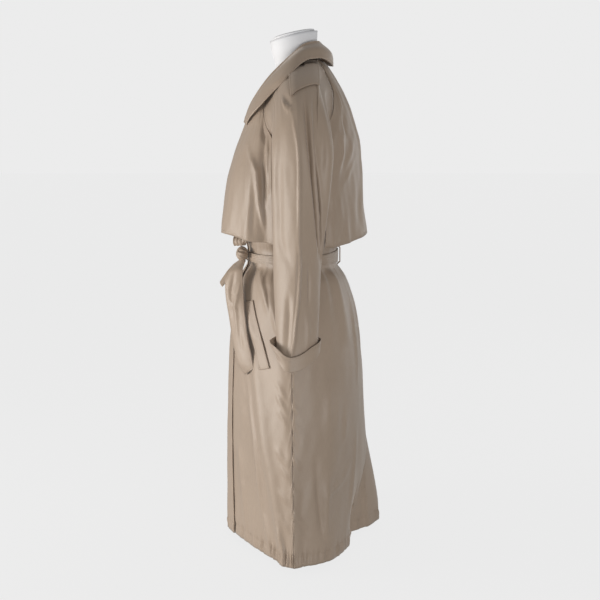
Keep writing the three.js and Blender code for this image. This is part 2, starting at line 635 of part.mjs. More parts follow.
function sleeveGeometry() {
  const lengthAt = (z) => 1 + (CAP_LOW - z) / LENGTH_UNIT;
  const outer = [];
  const inner = [];
  const addRow = (lengthOf) => {
    outer.push(SLEEVE_ANGLES.map((angle) => sleevePoint(angle, lengthOf(angle))));
    inner.push(SLEEVE_ANGLES.map((angle, i) => outer.at(-1)[i].clone()
      .addScaledVector(outward(sleevePoint, angle, lengthOf(angle), 1, -0.01), -CLOTH)));
  };
  for (const step of CAP_STEPS.slice(1)) addRow(() => step);
  for (const z of SLEEVE_LEVELS) addRow(() => lengthAt(z));
  addRow((angle) => lengthAt(cuffEdge(angle, 'low') + CUFF_INSET));
  const seam = SLEEVE_ANGLES.map((angle) => seamPlace(angle, SEAM_HALF_GAP));
  outer.unshift(seam.map((place) => place.point));
  inner.unshift(seam.map((place) => place.point.clone().addScaledVector(place.normal, -CLOTH)));
  return wallGeometry(outer, inner, true);
}

addMesh('sleeve_left', sleeveGeometry(), 'cloth');
addMesh('sleeve_right', mirrored(sleeveGeometry()), 'cloth');

// The cuff turns up round the sleeve's end. Its path runs down from the sleeve, round and up outside.
function cuffPoint(angle, along) {
  const low = cuffEdge(angle, 'low');
  const high = cuffEdge(angle, 'high');
  const rise = read(CUFF_PATH, 'along', along, 'rise');
  const z = along <= 0.6 ? low + rise : mix(low + rise, high, (along - 0.6) / 0.4);
  const normal = outward(sleeveRing, angle, z, 1, 2);
  return sleeveRing(angle, z).addScaledVector(normal, read(CUFF_PATH, 'along', along, 'out'));
}

const CUFF_STEPS = [0, 0.12, 0.24, 0.36, 0.6, 0.8, 1];
const cuffGeometry = () => clothWall(cuffPoint, SLEEVE_ANGLES, CUFF_STEPS, -CLOTH, true);
addMesh('cuff_left', cuffGeometry(), 'cloth');
addMesh('cuff_right', mirrored(cuffGeometry()), 'cloth');

// A hanging layer over the body, such as a flap or the cape, from its threads. Each thread runs from
// its low place to its place near the seam that carries it.
const HANGING_STEPS = [0, 0.07, 0.17, 0.3, 0.44, 0.58, 0.72, 0.86, 1];

function hangingPoint(thread, share, lift) {
  const z = mix(thread.lowZ, thread.topZ, share);
  const turn = mix(thread.lowTurn, thread.topTurn, smoothStep(0.35, 1, share));
  return clothPoint(turn, z).addScaledVector(bareNormal(turn, z), lift(thread, z, share));
}

function hangingGeometry(threads, lift) {
  const between = (place, column) => {
    const i = THREE.MathUtils.clamp(Math.floor(place), 0, threads.length - 2);
    return mix(threads[i][column], threads[i + 1][column], place - i);
  };
  const threadAt = (place) => ({
    lowTurn: between(place, 'lowTurn'),
    topTurn: between(place, 'topTurn'),
    topZ: between(place, 'topZ'),
    lowZ: between(place, 'lowZ'),
    place,
  });
  const surface = (place, share) => hangingPoint(threadAt(place), share, lift);
  return clothWall(surface, threads.map((_, i) => i), HANGING_STEPS, CLOTH);
}

const FLAP_CLEARANCE = 3.4;

// The flap stands off most at its free front edge and hangs in one trough and one ridge beside it.
function flapLift(thread, z, share) {
  const edge = mix(1, 0.42, smoothStep(20, 76, thread.lowTurn));
  const free = Math.max(1 - share, 0) ** 0.5;
  const trough = -9 * Math.exp(-(((thread.lowTurn - 61) / 6) ** 2));
  const ridge = 7 * Math.exp(-(((thread.lowTurn - 50) / 6) ** 2));
  const stand = read(FLAP_LIFTS, 'z', z, 'lift');
  return FLAP_CLEARANCE + (stand - FLAP_LIFTS.at(-1).lift) * edge
    + (trough + ridge) * free * smoothStep(1, 0.5, share);
}

// The cape stands off most at the centre back and hangs in soft troughs.
function capeLift(thread, z, share) {
  const edge = mix(0.45, 1, smoothStep(116, 165, thread.lowTurn));
  const waves = 4 * Math.sin(((thread.lowTurn - 116) / 64) * Math.PI * 3.5) * smoothStep(0.8, 0.2, share);
  const stand = read(CAPE_LIFTS, 'z', z, 'lift');
  return FLAP_CLEARANCE + (stand - CAPE_LIFTS.at(-1).lift) * edge
    + waves * Math.cos((thread.lowTurn - 90) * DEGREE);
}

// Over the fronts' lap both flaps stand off further.
const overLap = (lift) => (thread, z, share) => lift(thread, z, share)
  + (LAP_LIFT + 0.6) * (1 - smoothStep(21, 50, thread.lowTurn));
addMesh('front_flap_left', hangingGeometry(FLAP_THREADS, overLap(flapLift)), 'cloth');
const flapRight = FLAP_THREADS.map((thread, i) => (i > 0 ? thread : { ...thread, lowTurn: 2, topTurn: 8.5 }));
addMesh('front_flap_right', mirrored(hangingGeometry(flapRight, overLap(flapLift))), 'cloth');

const capeRight = CAPE_THREADS.slice(0, -1).reverse().map((thread) => ({
  ...thread,
  lowTurn: 360 - thread.lowTurn,
  topTurn: 360 - thread.topTurn,
}));
const capeBothSides = (thread, z, share) => capeLift(
  { ...thread, lowTurn: 180 - Math.abs(180 - thread.lowTurn) },
  z,
  share,
);
addMesh('back_cape', hangingGeometry([...CAPE_THREADS, ...capeRight], capeBothSides), 'cloth');

// The collar: up from its foot on the neckline, over the roll and down to its free edge.
const COLLAR_PATH_STEPS = [0, 0.2, 0.38, 0.46, 0.52, 0.58, 0.66, 0.78, 0.9, 1];
const MIDDLE_STATION = 0.0001;
const COLLAR_FOOT_LIFT = -1.6;
const COLLAR_FOOT_RISE = 2.4;
const COLLAR_BULGES = [
  { at: 0, bulge: 9 },
  { at: 0.6, bulge: 9 },
  { at: 1, bulge: 5 },
];

const collarRoll = (at) => new THREE.Vector3(
  read(COLLAR_STATIONS, 'at', at, 'rollX'),
  read(COLLAR_STATIONS, 'at', at, 'rollY'),
  read(COLLAR_STATIONS, 'at', at, 'rollZ'),
);

// A negative place along the collar lies on the wearer's right.
function collarPoint(along, path) {
  const side = Math.sign(along);
  const at = Math.abs(along);
  const station = (column) => read(COLLAR_STATIONS, 'at', at, column);
  const turn = station('turn');
  const neckline = (u) => clothPoint(u, read(NECKLINE, 'turn', u, 'z'));
  const normal = clothNormal(turn, read(NECKLINE, 'turn', turn, 'z'));
  const rise = normal.clone().cross(neckline(turn + 1).sub(neckline(turn - 1)).normalize());
  const foot = neckline(turn)
    .addScaledVector(normal, COLLAR_FOOT_LIFT)
    .addScaledVector(rise, COLLAR_FOOT_RISE);
  const roll = collarRoll(at);
  const edge = new THREE.Vector3(station('edgeX'), station('edgeY'), station('edgeZ'));
  const across = edge.clone().sub(roll);
  const level = new THREE.Vector3(across.x, across.y, 0).normalize().multiplyScalar(COLLAR_ROLL_RADIUS);
  const drop = new THREE.Vector3(0, 0, -COLLAR_ROLL_RADIUS);
  const inside = roll.clone().sub(level).add(drop);
  const outside = roll.clone().add(level).add(drop);
  const round = collarRoll(at + 0.02).sub(collarRoll(at - 0.02)).cross(across).normalize();
  const leaf = outside.clone().lerp(edge, 0.5).addScaledVector(
    round,
    read(COLLAR_BULGES, 'at', at, 'bulge'),
  );
  const curve = new THREE.CatmullRomCurve3([foot, inside, roll, outside, leaf, edge], false, 'centripetal');
  const point = curve.getPoint(THREE.MathUtils.clamp(path, 0, 1));
  point.x *= side;
  return point;
}

function collarGeometry() {
  const half = evenly(COLLAR_HALF_STATIONS, 0, 1).slice(1);
  const stations = [...half.map((at) => -at).reverse(), MIDDLE_STATION, ...half];
  return clothWall(collarPoint, stations, COLLAR_PATH_STEPS, -CLOTH);
}

addMesh('collar', collarGeometry(), 'cloth');

// The shoulder strap follows the sleeve's cap, a little above it.
const strapPoint = (angle, step) => sleevePoint(angle, step)
  .addScaledVector(outward(sleevePoint, angle, step, 1, -0.01), STRAP_LIFT);

const strapGeometry = () => clothWall(strapPoint, STRAP_ANGLES, STRAP_STEPS, CLOTH);
addMesh('epaulette_left', strapGeometry(), 'cloth');
addMesh('epaulette_right', mirrored(strapGeometry()), 'cloth');

// A flat round button whose back sits on a place of the cloth.
function buttonGeometry(place, direction, radius) {
  const profile = [[0, 0], [1, 0], [1, 0.26], [0.85, 0.36], [0.62, 0.26], [0, 0.26]]
    .map(([r, h]) => new THREE.Vector2(r * radius, h * radius));
  const geometry = new THREE.LatheGeometry(profile, 14);
  geometry.applyQuaternion(new THREE.Quaternion().setFromUnitVectors(new THREE.Vector3(0, 1, 0), direction));
  return geometry.translate(place.x, place.y, place.z);
}

const BUTTON_RADIUS = 8.5;
const STRAP_BUTTON = { angle: 6, step: 0.14, seat: 0.3 };
const strapNormal = outward(strapPoint, STRAP_BUTTON.angle, STRAP_BUTTON.step, 1, -0.01);
const strapButtonPlace = strapPoint(STRAP_BUTTON.angle, STRAP_BUTTON.step)
  .addScaledVector(strapNormal, CLOTH + STRAP_BUTTON.seat);
addMesh('epaulette_button_left', buttonGeometry(strapButtonPlace, strapNormal, BUTTON_RADIUS), 'button');
const mirrorX = (vector) => new THREE.Vector3(-vector.x, vector.y, vector.z);
addMesh(
  'epaulette_button_right',
  buttonGeometry(mirrorX(strapButtonPlace), mirrorX(strapNormal), BUTTON_RADIUS),
  'button',
);

// The belt, taller behind than in front where it is drawn into the knot.
const beltHalfHeight = (turn) => mix(
  BELT_HALF_HEIGHT_FRONT,
  BELT_HALF_HEIGHT_BACK,
  smoothStep(100, 175, Math.abs(turnBetween(turn, 0))),
);
const beltLift = (turn) => BELT_CLEARANCE + BELT_THICKNESS
  + LAP_LIFT * (1 - smoothStep(LAP_FADE_TURN, 50, Math.abs(turnBetween(turn, 0))));
const beltPoint = (turn, up) => onCloth(turn, WAIST, beltLift(turn))
  .add(new THREE.Vector3(0, 0, up * beltHalfHeight(turn)));
const BELT_STEPS = [-1, 0, 1];
const BELT_TURNS = evenly(54, -180, 180).slice(0, -1);
addMesh('belt_band', clothWall(beltPoint, BELT_TURNS, BELT_STEPS, BELT_THICKNESS, true), 'cloth');

function knotGeometry() {
  const geometry = new THREE.SphereGeometry(1, 14, 10);
  const place = geometry.getAttribute('position');
  for (let i = 0; i < place.count; i += 1) {
    const [x, y, z] = [place.getX(i), place.getY(i), place.getZ(i)];
    const swell = 1 + 0.14 * Math.cos(3 * Math.atan2(z, x) + 0.6) * Math.sqrt(x * x + z * z);
    place.setXYZ(
      i,
      KNOT.x + KNOT.wide * swell * x,
      KNOT.y + KNOT.deep * y,
      KNOT.z + KNOT.tall * swell * z,
    );
  }
  return geometry;
}

addMesh('belt_knot', knotGeometry(), 'cloth');

// A ribbon between its two edges, which a table gives down its length.
function ribbonGeometry(rows, us, vs, bow) {
  const surface = (across, along) => {
    const at = (column) => read(rows, 'along', along, column);
    const point = new THREE.Vector3(
      mix(at('frontX'), at('rearX'), across),
      mix(at('frontY'), at('rearY'), across),
      mix(at('frontZ'), at('rearZ'), across),
    );
    const swell = bow * 4 * across * (1 - across);
    return point.add(new THREE.Vector3(swell, -swell * 0.6, 0));
  };
  return clothWall(surface, us, vs, CLOTH + 0.4);
}

addMesh('belt_end_long', ribbonGeometry(LONG_END, evenly(4, 0, 1), evenly(9, 0, 1), 3), 'cloth');
addMesh('belt_end_short', ribbonGeometry(SHORT_END, evenly(2, 0, 1), evenly(5, 0, 1), 1.5), 'cloth');

// The bow loop rises from the knot and comes back down behind itself.
const BOW = { x: 64, y: -129, z: 735, tall: 13.5, deep: 12, wide: 26, opening: 60 };
function bowPoint(across, round) {
  const angle = mix(BOW.opening / 2, 360 - BOW.opening / 2, round) * DEGREE;
  const x = BOW.x + BOW.wide * (across - 0.5) * 0.85;
  const lean = BOW.wide * (across - 0.5) * 0.5;
  return new THREE.Vector3(
    x,
    BOW.y + lean + BOW.deep * Math.sin(angle),
    BOW.z - BOW.tall * Math.cos(angle) * (1 - 0.12 * across),
  );
}

addMesh('belt_bow', clothWall(bowPoint, evenly(3, 0, 1), evenly(14, 0, 1), CLOTH), 'cloth');

// The belt loop at the centre back stands off the cloth round the belt.
const BELT_LOOP = { halfWidth: 6, halfHeight: 26, out: 11.5 };
function beltLoopPoint(across, up) {
  const turn = 180 - (across * BELT_LOOP.halfWidth * 360) / (2 * Math.PI * 146);
  const lift = BELT_LOOP.out * smoothStep(1, 0.72, Math.abs(up)) + 2.8;
  return onCloth(turn, WAIST + up * BELT_LOOP.halfHeight, 0)
    .addScaledVector(new THREE.Vector3(0, 1, 0), lift);
}

const BELT_LOOP_STEPS = [-1, -0.9, -0.8, -0.7, 0, 0.7, 0.8, 0.9, 1];
addMesh('belt_loop', clothWall(beltLoopPoint, [-1, 0, 1], BELT_LOOP_STEPS, CLOTH), 'cloth');

// A slanted pocket welt on each front.
function weltPoint(across, along) {
  const turn = mix(WELT.topTurn, WELT.lowTurn, along) + (across - 0.5) * WELT.wide;
  const z = mix(WELT.topZ, WELT.lowZ, along) + (across - 0.5) * 9;
  return onCloth(turn, z, WELT.lift);
}

const weltGeometry = () => clothWall(weltPoint, evenly(3, 0, 1), evenly(7, 0, 1), CLOTH);
addMesh('pocket_welt_left', weltGeometry(), 'cloth');
addMesh('pocket_welt_right', mirrored(weltGeometry()), 'cloth');

// The dress form: a smooth torso with its neck, closed above and below.
const FORM_TURNS = evenly(28, 0, 360).slice(0, -1);

function torsoGeometry() {
  const positions = [];
  const levels = TORSO_RINGS.flatMap((ring, i) => {
    const next = TORSO_RINGS[i + 1];
    return next && next.z - ring.z > 50 ? [ring.z, (ring.z + next.z) / 2] : [ring.z];
  });
  for (const z of levels) {
    const slant = NECK_SLANT * smoothStep(1150, TORSO_RINGS.at(-1).z, z);
    for (const turn of FORM_TURNS) {
      const point = ringPoint(TORSO_RINGS, turn, z);
      positions.push(point.x, point.y, z + slant * point.y);
    }
  }
  const count = FORM_TURNS.length;
  const index = [];
  for (let j = 0; j + 1 < levels.length; j += 1) {
    for (let i = 0; i < count; i += 1) {
      const a = j * count + i;
      const b = j * count + ((i + 1) % count);
      index.push(a, b, b + count, a, b + count, a + count);
    }
  }
  const low = positions.length / 3;
  positions.push(0, 0, levels[0], 0, 0, levels.at(-1));
  const topRow = (levels.length - 1) * count;
  for (let i = 0; i < count; i += 1) {
    const next = (i + 1) % count;
    index.push(low, next, i, low + 1, topRow + i, topRow + next);
  }
  return facingOut(positions, index);
}

addMesh('form_torso', torsoGeometry(), 'form');

const CAP = { radius: 50, thickness: 7, y: -2 };
const capProfile = [[0, 0], [0.94, 0], [1, 0.3], [0.96, 0.75], [0.8, 1], [0, 1.05]]
  .map(([r, h]) => new THREE.Vector2(r * CAP.radius, h * CAP.thickness));
const upright = (geometry, z) => geometry.rotateX(Math.PI / 2).translate(0, 0, z);
const neckCap = new THREE.LatheGeometry(capProfile, 28).rotateX(Math.PI / 2 + Math.atan(NECK_SLANT));
neckCap.translate(0, CAP.y, TORSO_RINGS.at(-1).z + NECK_SLANT * CAP.y + 0.4);
addMesh('form_neck_cap', neckCap, 'form');

const poleHeight = TORSO_RINGS[0].z - BASE_THICKNESS - 0.6;
const pole = new THREE.CylinderGeometry(POLE_RADIUS, POLE_RADIUS, poleHeight, 28);
addMesh('form_pole', upright(pole, BASE_THICKNESS + 0.3 + poleHeight / 2), 'metal');
const baseProfile = [[0, 0], [0.99, 0], [1, 0.15], [1, 0.8], [0.985, 1], [0, 1]]
  .map(([r, h]) => new THREE.Vector2(r * BASE_RADIUS, h * BASE_THICKNESS));
addMesh('form_base', upright(new THREE.LatheGeometry(baseProfile, 40), 0), 'metal');

export default coat;
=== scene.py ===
"""Looks of a belted raglan trench coat on a limbless dress form.

The coat faces -Y and the wearer's left is +X. Sizes in this file are in millimetres and become metres
when a mesh is made. A turn is an angle round the body in degrees: 0 is the front, 90 the wearer's left
and 180 the back. A lift is a distance out from the body cloth.
"""

from __future__ import annotations

import logging
import math
from collections.abc import Callable
from dataclasses import dataclass
from enum import Enum

import bmesh
import bpy
import numpy as np
from mathutils import Matrix, Vector

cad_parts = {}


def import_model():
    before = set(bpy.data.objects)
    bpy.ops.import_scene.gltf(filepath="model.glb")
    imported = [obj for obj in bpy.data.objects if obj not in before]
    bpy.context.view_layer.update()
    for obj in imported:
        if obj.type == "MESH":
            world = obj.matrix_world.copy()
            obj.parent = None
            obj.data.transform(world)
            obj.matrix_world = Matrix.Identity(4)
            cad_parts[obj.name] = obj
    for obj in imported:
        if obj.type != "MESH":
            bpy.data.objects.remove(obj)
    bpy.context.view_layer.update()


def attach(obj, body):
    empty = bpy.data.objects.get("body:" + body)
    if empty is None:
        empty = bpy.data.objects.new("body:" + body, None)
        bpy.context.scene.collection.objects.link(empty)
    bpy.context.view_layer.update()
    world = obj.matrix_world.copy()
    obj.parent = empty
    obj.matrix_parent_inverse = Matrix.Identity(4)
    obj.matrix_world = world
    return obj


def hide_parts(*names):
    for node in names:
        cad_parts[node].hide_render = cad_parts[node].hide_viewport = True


LOG = logging.getLogger("trench_coat")
METRE = 0.001
CLOTH_THICKNESS = 1.3
CREASE_STRENGTH = 1.7
CREASE_FACING = (0.15, 0.6)
CREASE_END_POWER = 0.6
TURN_STEP = 0.5
HEIGHT_STEP = 2
MERGE_DISTANCE = 2e-5

Points = np.ndarray
Surface = Callable[[np.ndarray, np.ndarray], Points]


class Side(Enum):
    """The wearer's side that a piece is on."""

    LEFT = 1.0
    RIGHT = -1.0

    @property
    def word(self) -> str:
        """The side's word in a piece's name."""
        return self.name.lower()


class Held(Enum):
    """How a cut piece of cloth is held."""

    HUNG = "hung"
    GATHERED = "gathered"
    FOLDED = "folded"
    LAID = "laid"


class Plane(Enum):
    """The way a crease is looked at when its place is read: from a side, the front or the back."""

    SIDE = 0
    FRONT = 1
    BACK = 2


def mix(low: np.ndarray | float, high: np.ndarray | float, share: np.ndarray | float) -> np.ndarray:
    """A value between two others."""
    return low + (high - low) * share


def smooth_step(low: float, high: float, at: np.ndarray | float) -> np.ndarray:
    """A smooth change from 0 to 1 between two places."""
    share = np.clip((np.asarray(at, float) - low) / (high - low), 0.0, 1.0)
    return share * share * (3.0 - 2.0 * share)


def bell(distance: np.ndarray, width: float) -> np.ndarray:
    """A soft hill of height 1 over a distance."""
    return np.exp(-((distance / width) ** 2))


def unit(vectors: Points) -> Points:
    """Vectors made one long."""
    return vectors / np.maximum(np.linalg.norm(vectors, axis=-1, keepdims=True), 1e-9)


def joined(x: np.ndarray, y: np.ndarray, z: np.ndarray) -> Points:
    """Points from their three coordinates."""
    return np.stack(np.broadcast_arrays(x, y, z), axis=-1)


def mirrored(points: Points, side: Side) -> Points:
    """Points of the wearer's left, put on either side."""
    return points * np.array([side.value, 1.0, 1.0])


def walk_along(points: Points, axis: int) -> np.ndarray:
    """How far each point lies from the first one, along its column (axis 0) or its row (axis 1)."""
    steps = np.linalg.norm(np.diff(points, axis=axis), axis=-1)
    start = np.zeros_like(np.take(steps, [0], axis=axis))
    return np.concatenate([start, np.cumsum(steps, axis=axis)], axis=axis)


class Table:
    """A short table that is read on a smooth curve without overshoot."""

    def __init__(self, columns: str, rows: list[tuple[float, ...]]) -> None:
        """Keeps the rows.

        Args:
            columns: The columns' names; the first is the place that the table is read by.
            rows: The rows, in rising order of place.
        """
        names = columns.split()
        values = np.array(rows, float)
        self.places = values[:, 0]
        self.columns = {name: values[:, i] for i, name in enumerate(names) if i > 0}
        self.slopes = {name: self.calm_slopes(column) for name, column in self.columns.items()}

    def calm_slopes(self, column: np.ndarray) -> np.ndarray:
        """Slopes at the rows that make no overshoot."""
        steps = np.diff(column) / np.diff(self.places)
        slopes = np.zeros(len(column))
        slopes[0] = steps[0]
        slopes[-1] = steps[-1]
        before, after = steps[:-1], steps[1:]
        same_way = before * after > 0
        total = np.where(same_way, before + after, 1.0)
        slopes[1:-1] = np.where(same_way, 2.0 * before * after / total, 0.0)
        return slopes

    def read(self, at: np.ndarray | float, column: str) -> np.ndarray:
        """One column's value at any places.

        Args:
            at: The places.
            column: The column's name.

        Returns:
            The values, held level past both ends of the table.
        """
        at = np.clip(np.asarray(at, float), self.places[0], self.places[-1])
        low = np.clip(np.searchsorted(self.places, at, side="right") - 1, 0, len(self.places) - 2)
        values, slopes = self.columns[column], self.slopes[column]
        step = self.places[low + 1] - self.places[low]
        t = (at - self.places[low]) / step
        start = values[low] * (2 * t**3 - 3 * t**2 + 1) + step * slopes[low] * (t**3 - 2 * t**2 + t)
        return start + values[low + 1] * (3 * t**2 - 2 * t**3) + step * slopes[low + 1] * (t**3 - t**2)

    def point(self, at: np.ndarray, name: str) -> Points:
        """Points from the columns name_x, name_y and name_z."""
        return joined(*(self.read(at, f"{name}_{axis}") for axis in "xyz"))


def outward(surface: Surface, u: np.ndarray, v: np.ndarray, step_u: float, step_v: float) -> Points:
    """The direction square to a surface, from small steps to each side.

    Args:
        surface: The surface.
        u: First places.
        v: Second places.
        step_u: The small step along the first.
        step_v: The small step along the second.

    Returns:
        Directions, one long.
    """
    along = surface(u + step_u, v) - surface(u - step_u, v)
    across = surface(u, v + step_v) - surface(u, v - step_v)
    return unit(np.cross(along, across))


def grid_normals(points: Points, closed: bool) -> Points:
    """Directions square to a grid of points, from its own rows and columns.

    Args:
        points: Rows of columns of points.
        closed: True where the last column meets the first.

    Returns:
        Directions, one long.
    """
    if closed:
        body = points[:, :-1]
        along = np.roll(body, -1, axis=1) - np.roll(body, 1, axis=1)
        along = np.concatenate([along, along[:, :1]], axis=1)
    else:
        along = np.gradient(points, axis=1)
    up = np.gradient(points, axis=0)
    return unit(np.cross(along, up))


@dataclass(frozen=True)
class Waves:
    """Soft unevenness made of a few waves with seeded directions and starts.

    Attributes:
        seed: The number that the waves start from.
        length: The mean length of a wave in millimetres.
        height: The mean height in millimetres.
        stretch: How much longer the waves are down the cloth than across it.
        count: How many waves are added up.
    """

    seed: int
    length: float
    height: float
    stretch: float = 2.0
    count: int = 9

    def over(self, across: np.ndarray, down: np.ndarray) -> np.ndarray:
        """The heights over places on the cloth."""
        chance = np.random.default_rng(self.seed)
        total = np.zeros(np.broadcast(across, down).shape)
        for _ in range(self.count):
            angle = chance.uniform(-0.9, 0.9)
            size = 2 * math.pi / (self.length * chance.uniform(0.6, 1.6))
            start = chance.uniform(0, 2 * math.pi)
            path = across * math.cos(angle) + down * math.sin(angle) / self.stretch
            total += np.sin(path * size + start)
        return total * self.height / math.sqrt(self.count)


@dataclass(frozen=True)
class Crease:
    """A soft trough or ridge placed along a given line.

    Attributes:
        line: The places it runs through, across and up, in millimetres.
        height: Its height at the middle; a trough is negative.
        width: Its half width.
        sharp: How much narrower its upper or rear flank is than the other one.
        plane: The way it is looked at.
    """

    line: tuple[tuple[float, float], ...]
    height: float
    width: float
    sharp: float = 1.0
    plane: Plane = Plane.SIDE

    def over(self, points: Points, normals: Points) -> np.ndarray:
        """The heights over points of a cloth.

        Args:
            points: The cloth's points.
            normals: Its outward directions.

        Returns:
            The heights, none where the cloth turns away from the crease's plane.
        """
        if self.plane is Plane.SIDE:
            across, facing = points[..., 1], np.abs(normals[..., 0])
        else:
            across = points[..., 0]
            facing = normals[..., 1] * (1.0 if self.plane is Plane.BACK else -1.0)
        places = np.stack([across, points[..., 2]], axis=-1)
        nearest = np.full(across.shape, 1e9)
        share = np.zeros(across.shape)
        signed = np.zeros(across.shape)
        line = np.array(self.line, float)
        lengths = np.linalg.norm(np.diff(line, axis=0), axis=1)
        total = lengths.sum()
        walked = 0.0
        for start, end, length in zip(line[:-1], line[1:], lengths):
            way = (end - start) / length
            offset = places - start
            along = np.clip(offset @ way, 0.0, length)
            gap = offset - along[..., None] * way
            distance = np.linalg.norm(gap, axis=-1)
            side = np.sign(offset[..., 0] * way[1] - offset[..., 1] * way[0])
            closer = distance < nearest
            nearest = np.where(closer, distance, nearest)
            share = np.where(closer, (walked + along) / total, share)
            signed = np.where(closer, side, signed)
            walked += length
        width = np.where(signed > 0, self.width / self.sharp, self.width)
        fade = np.sin(np.pi * np.clip(share, 0.02, 0.98)) ** CREASE_END_POWER
        hill = bell(nearest, width)
        return CREASE_STRENGTH * self.height * fade * hill * smooth_step(*CREASE_FACING, facing)


def creased(points: Points, creases: tuple[Crease, ...], closed: bool = False) -> Points:
    """Cloth points moved out or in by creases."""
    for crease in creases:
        normals = grid_normals(points, closed)
        points = points + normals * crease.over(points, normals)[..., None]
    return points


@dataclass
class ClothMesh:
    """Makes a thin cloth mesh from rows and columns of points.

    Attributes:
        name: The piece's name.
        points: Rows of columns of outer points, in millimetres.
        closed: True where the last column is the first again.
        thickness: The cloth's thickness.
    """

    name: str
    points: Points
    closed: bool = False
    thickness: float = CLOTH_THICKNESS

    def flat_size(self) -> tuple[float, float, float]:
        """The width, length and area of the cut before it was hung, in metres."""
        points = self.points * METRE
        widths = np.linalg.norm(np.diff(points, axis=1), axis=2).sum(axis=1)
        lengths = np.linalg.norm(np.diff(points, axis=0), axis=2).sum(axis=0)
        along = points[:-1, 1:] - points[:-1, :-1]
        up = points[1:, :-1] - points[:-1, :-1]
        area = float(np.linalg.norm(np.cross(along, up), axis=2).sum())
        width, length = float(widths.max()), float(lengths.max())
        return width, length, min(area, width * length)

    def make(self) -> bpy.types.Object:
        """Builds the piece, with a map in metres of its cloth.

        Returns:
            The new object, standing at the origin.
        """
        rows, columns = self.points.shape[:2]
        work, spots = placed_grid(self.points)
        layer = work.loops.layers.uv.new("cloth")
        width, length, _ = self.flat_size()
        for face in work.faces:
            for loop in face.loops:
                row, column = spots[loop.vert.index]
                loop[layer].uv = (column / (columns - 1) * width, row / (rows - 1) * length)
        if self.closed:
            bmesh.ops.remove_doubles(work, verts=work.verts, dist=MERGE_DISTANCE)
        piece = finished(f"{self.name}_cloth", work)
        wall = piece.modifiers.new("wall", "SOLIDIFY")
        wall.thickness = self.thickness * METRE
        wall.offset = -1.0
        return piece


def placed_grid(points: Points) -> tuple[bmesh.types.BMesh, dict[int, tuple[int, int]]]:
    """A grid with its vertices moved to rows and columns of points.

    Args:
        points: The points, in millimetres.

    Returns:
        The bmesh, and each vertex's row and column by its index.
    """
    rows, columns = points.shape[:2]
    work = bmesh.new()
    bmesh.ops.create_grid(work, x_segments=columns - 1, y_segments=rows - 1, size=1.0)
    work.verts.index_update()
    spots = {}
    for vertex in work.verts:
        column = round((vertex.co.x + 1.0) / 2.0 * (columns - 1))
        row = round((vertex.co.y + 1.0) / 2.0 * (rows - 1))
        spots[vertex.index] = (row, column)
        vertex.co = points[row, column] * METRE
    return work, spots


def turned_shape(profile: list[tuple[float, float]], steps: int) -> bmesh.types.BMesh:
    """A closed turned shape from its half section.

    Args:
        profile: The section's points, out and up in millimetres.
        steps: How many steps go round.

    Returns:
        The shape, round the Z axis.
    """
    work = bmesh.new()
    chain = [work.verts.new((out * METRE, 0.0, up * METRE)) for out, up in profile]
    edges = [work.edges.new(pair) for pair in zip(chain[:-1], chain[1:])]
    full = 2 * math.pi
    bmesh.ops.spin(
        work, geom=chain + edges, axis=(0, 0, 1), cent=(0, 0, 0), angle=full, steps=steps, use_merge=True
    )
    bmesh.ops.remove_doubles(work, verts=work.verts, dist=1e-6)
    bmesh.ops.recalc_face_normals(work, faces=work.faces)
    return work


def finished(name: str, work: bmesh.types.BMesh, smooth: bool = True) -> bpy.types.Object:
    """Turns a bmesh into an object of the scene.

    Args:
        name: The object's name.
        work: The bmesh, freed here.
        smooth: True for smooth shading.

    Returns:
        The new object.
    """
    mesh = bpy.data.meshes.new(name)
    work.to_mesh(mesh)
    work.free()
    for polygon in mesh.polygons:
        polygon.use_smooth = smooth
    piece = bpy.data.objects.new(name, mesh)
    bpy.context.scene.collection.objects.link(piece)
    return piece


BODY_RINGS = Table(
    "z side front back lens_front lens_back",
    [
        (15, 280, 166, 200, 0.85, 0.6),
        (150, 270, 166, 184, 0.75, 0.48),
        (300, 250, 163, 171, 0.55, 0.25),
        (450, 225, 158, 162, 0.5, 0.12),
        (560, 200, 148, 146, 0.35, 0.05),
        (640, 172, 130, 122, 0.15, 0),
        (680, 147, 111, 100, 0, 0),
        (697, 147, 111, 100, 0, 0),
        (714, 147, 111, 100, 0, 0),
        (740, 156, 114, 106, 0, 0),
        (830, 175, 115, 112, 0, 0),
        (920, 190, 115, 119, 0, 0),
        (967, 192, 113, 124, 0, 0),
        (990, 188, 112, 124, 0, 0),
        (1034, 172, 104, 121, 0, 0),
        (1058, 156, 95, 116, 0, 0),
        (1076, 140, 87, 110, 0, 0),
        (1091, 128, 79, 103, 0, 0),
        (1118, 95, 61, 89, 0, 0),
        (1140, 82, 50, 76, 0, 0),
        (1158, 70, 35, 61, 0, 0),
    ],
)

NECKLINE = Table(
    "turn z",
    [
        (-15, 1008), (0, 1015), (6.6, 1034), (17.5, 1076), (31.8, 1104), (44, 1118),
        (60, 1136), (90, 1147), (120, 1153), (140.7, 1156), (180, 1158),
    ],
)

SLEEVE_HEAD = Table(
    "angle turn z",
    [
        (-180, 86, 946), (-150, 68, 967), (-120, 57.8, 992), (-90, 48, 1034), (-60, 43.9, 1076),
        (-32, 44, 1118), (-16, 62, 1137), (0, 90, 1147), (18, 120, 1153), (36, 140.7, 1155),
        (46, 141.4, 1143), (60, 141, 1125), (85, 140.5, 1091), (110, 135.2, 1058), (135, 127.6, 1015),
        (160, 113, 975), (180, 86, 946),
    ],
)

HEM_HEIGHT = 15.0
WAIST_HEIGHT = 697.0
VENT_TOP = 330.0
SIDE_TURN = 86.0
FRONT_LOW_TURN_AT_NECK = 36.0
BACK_LOW_TURN_AT_NECK = 156.0
LENS_POWER = 1.15
BACK_FULLNESS = 0.2
SEAM_HALF_GAP = 0.2
BEND_FROM = 850.0


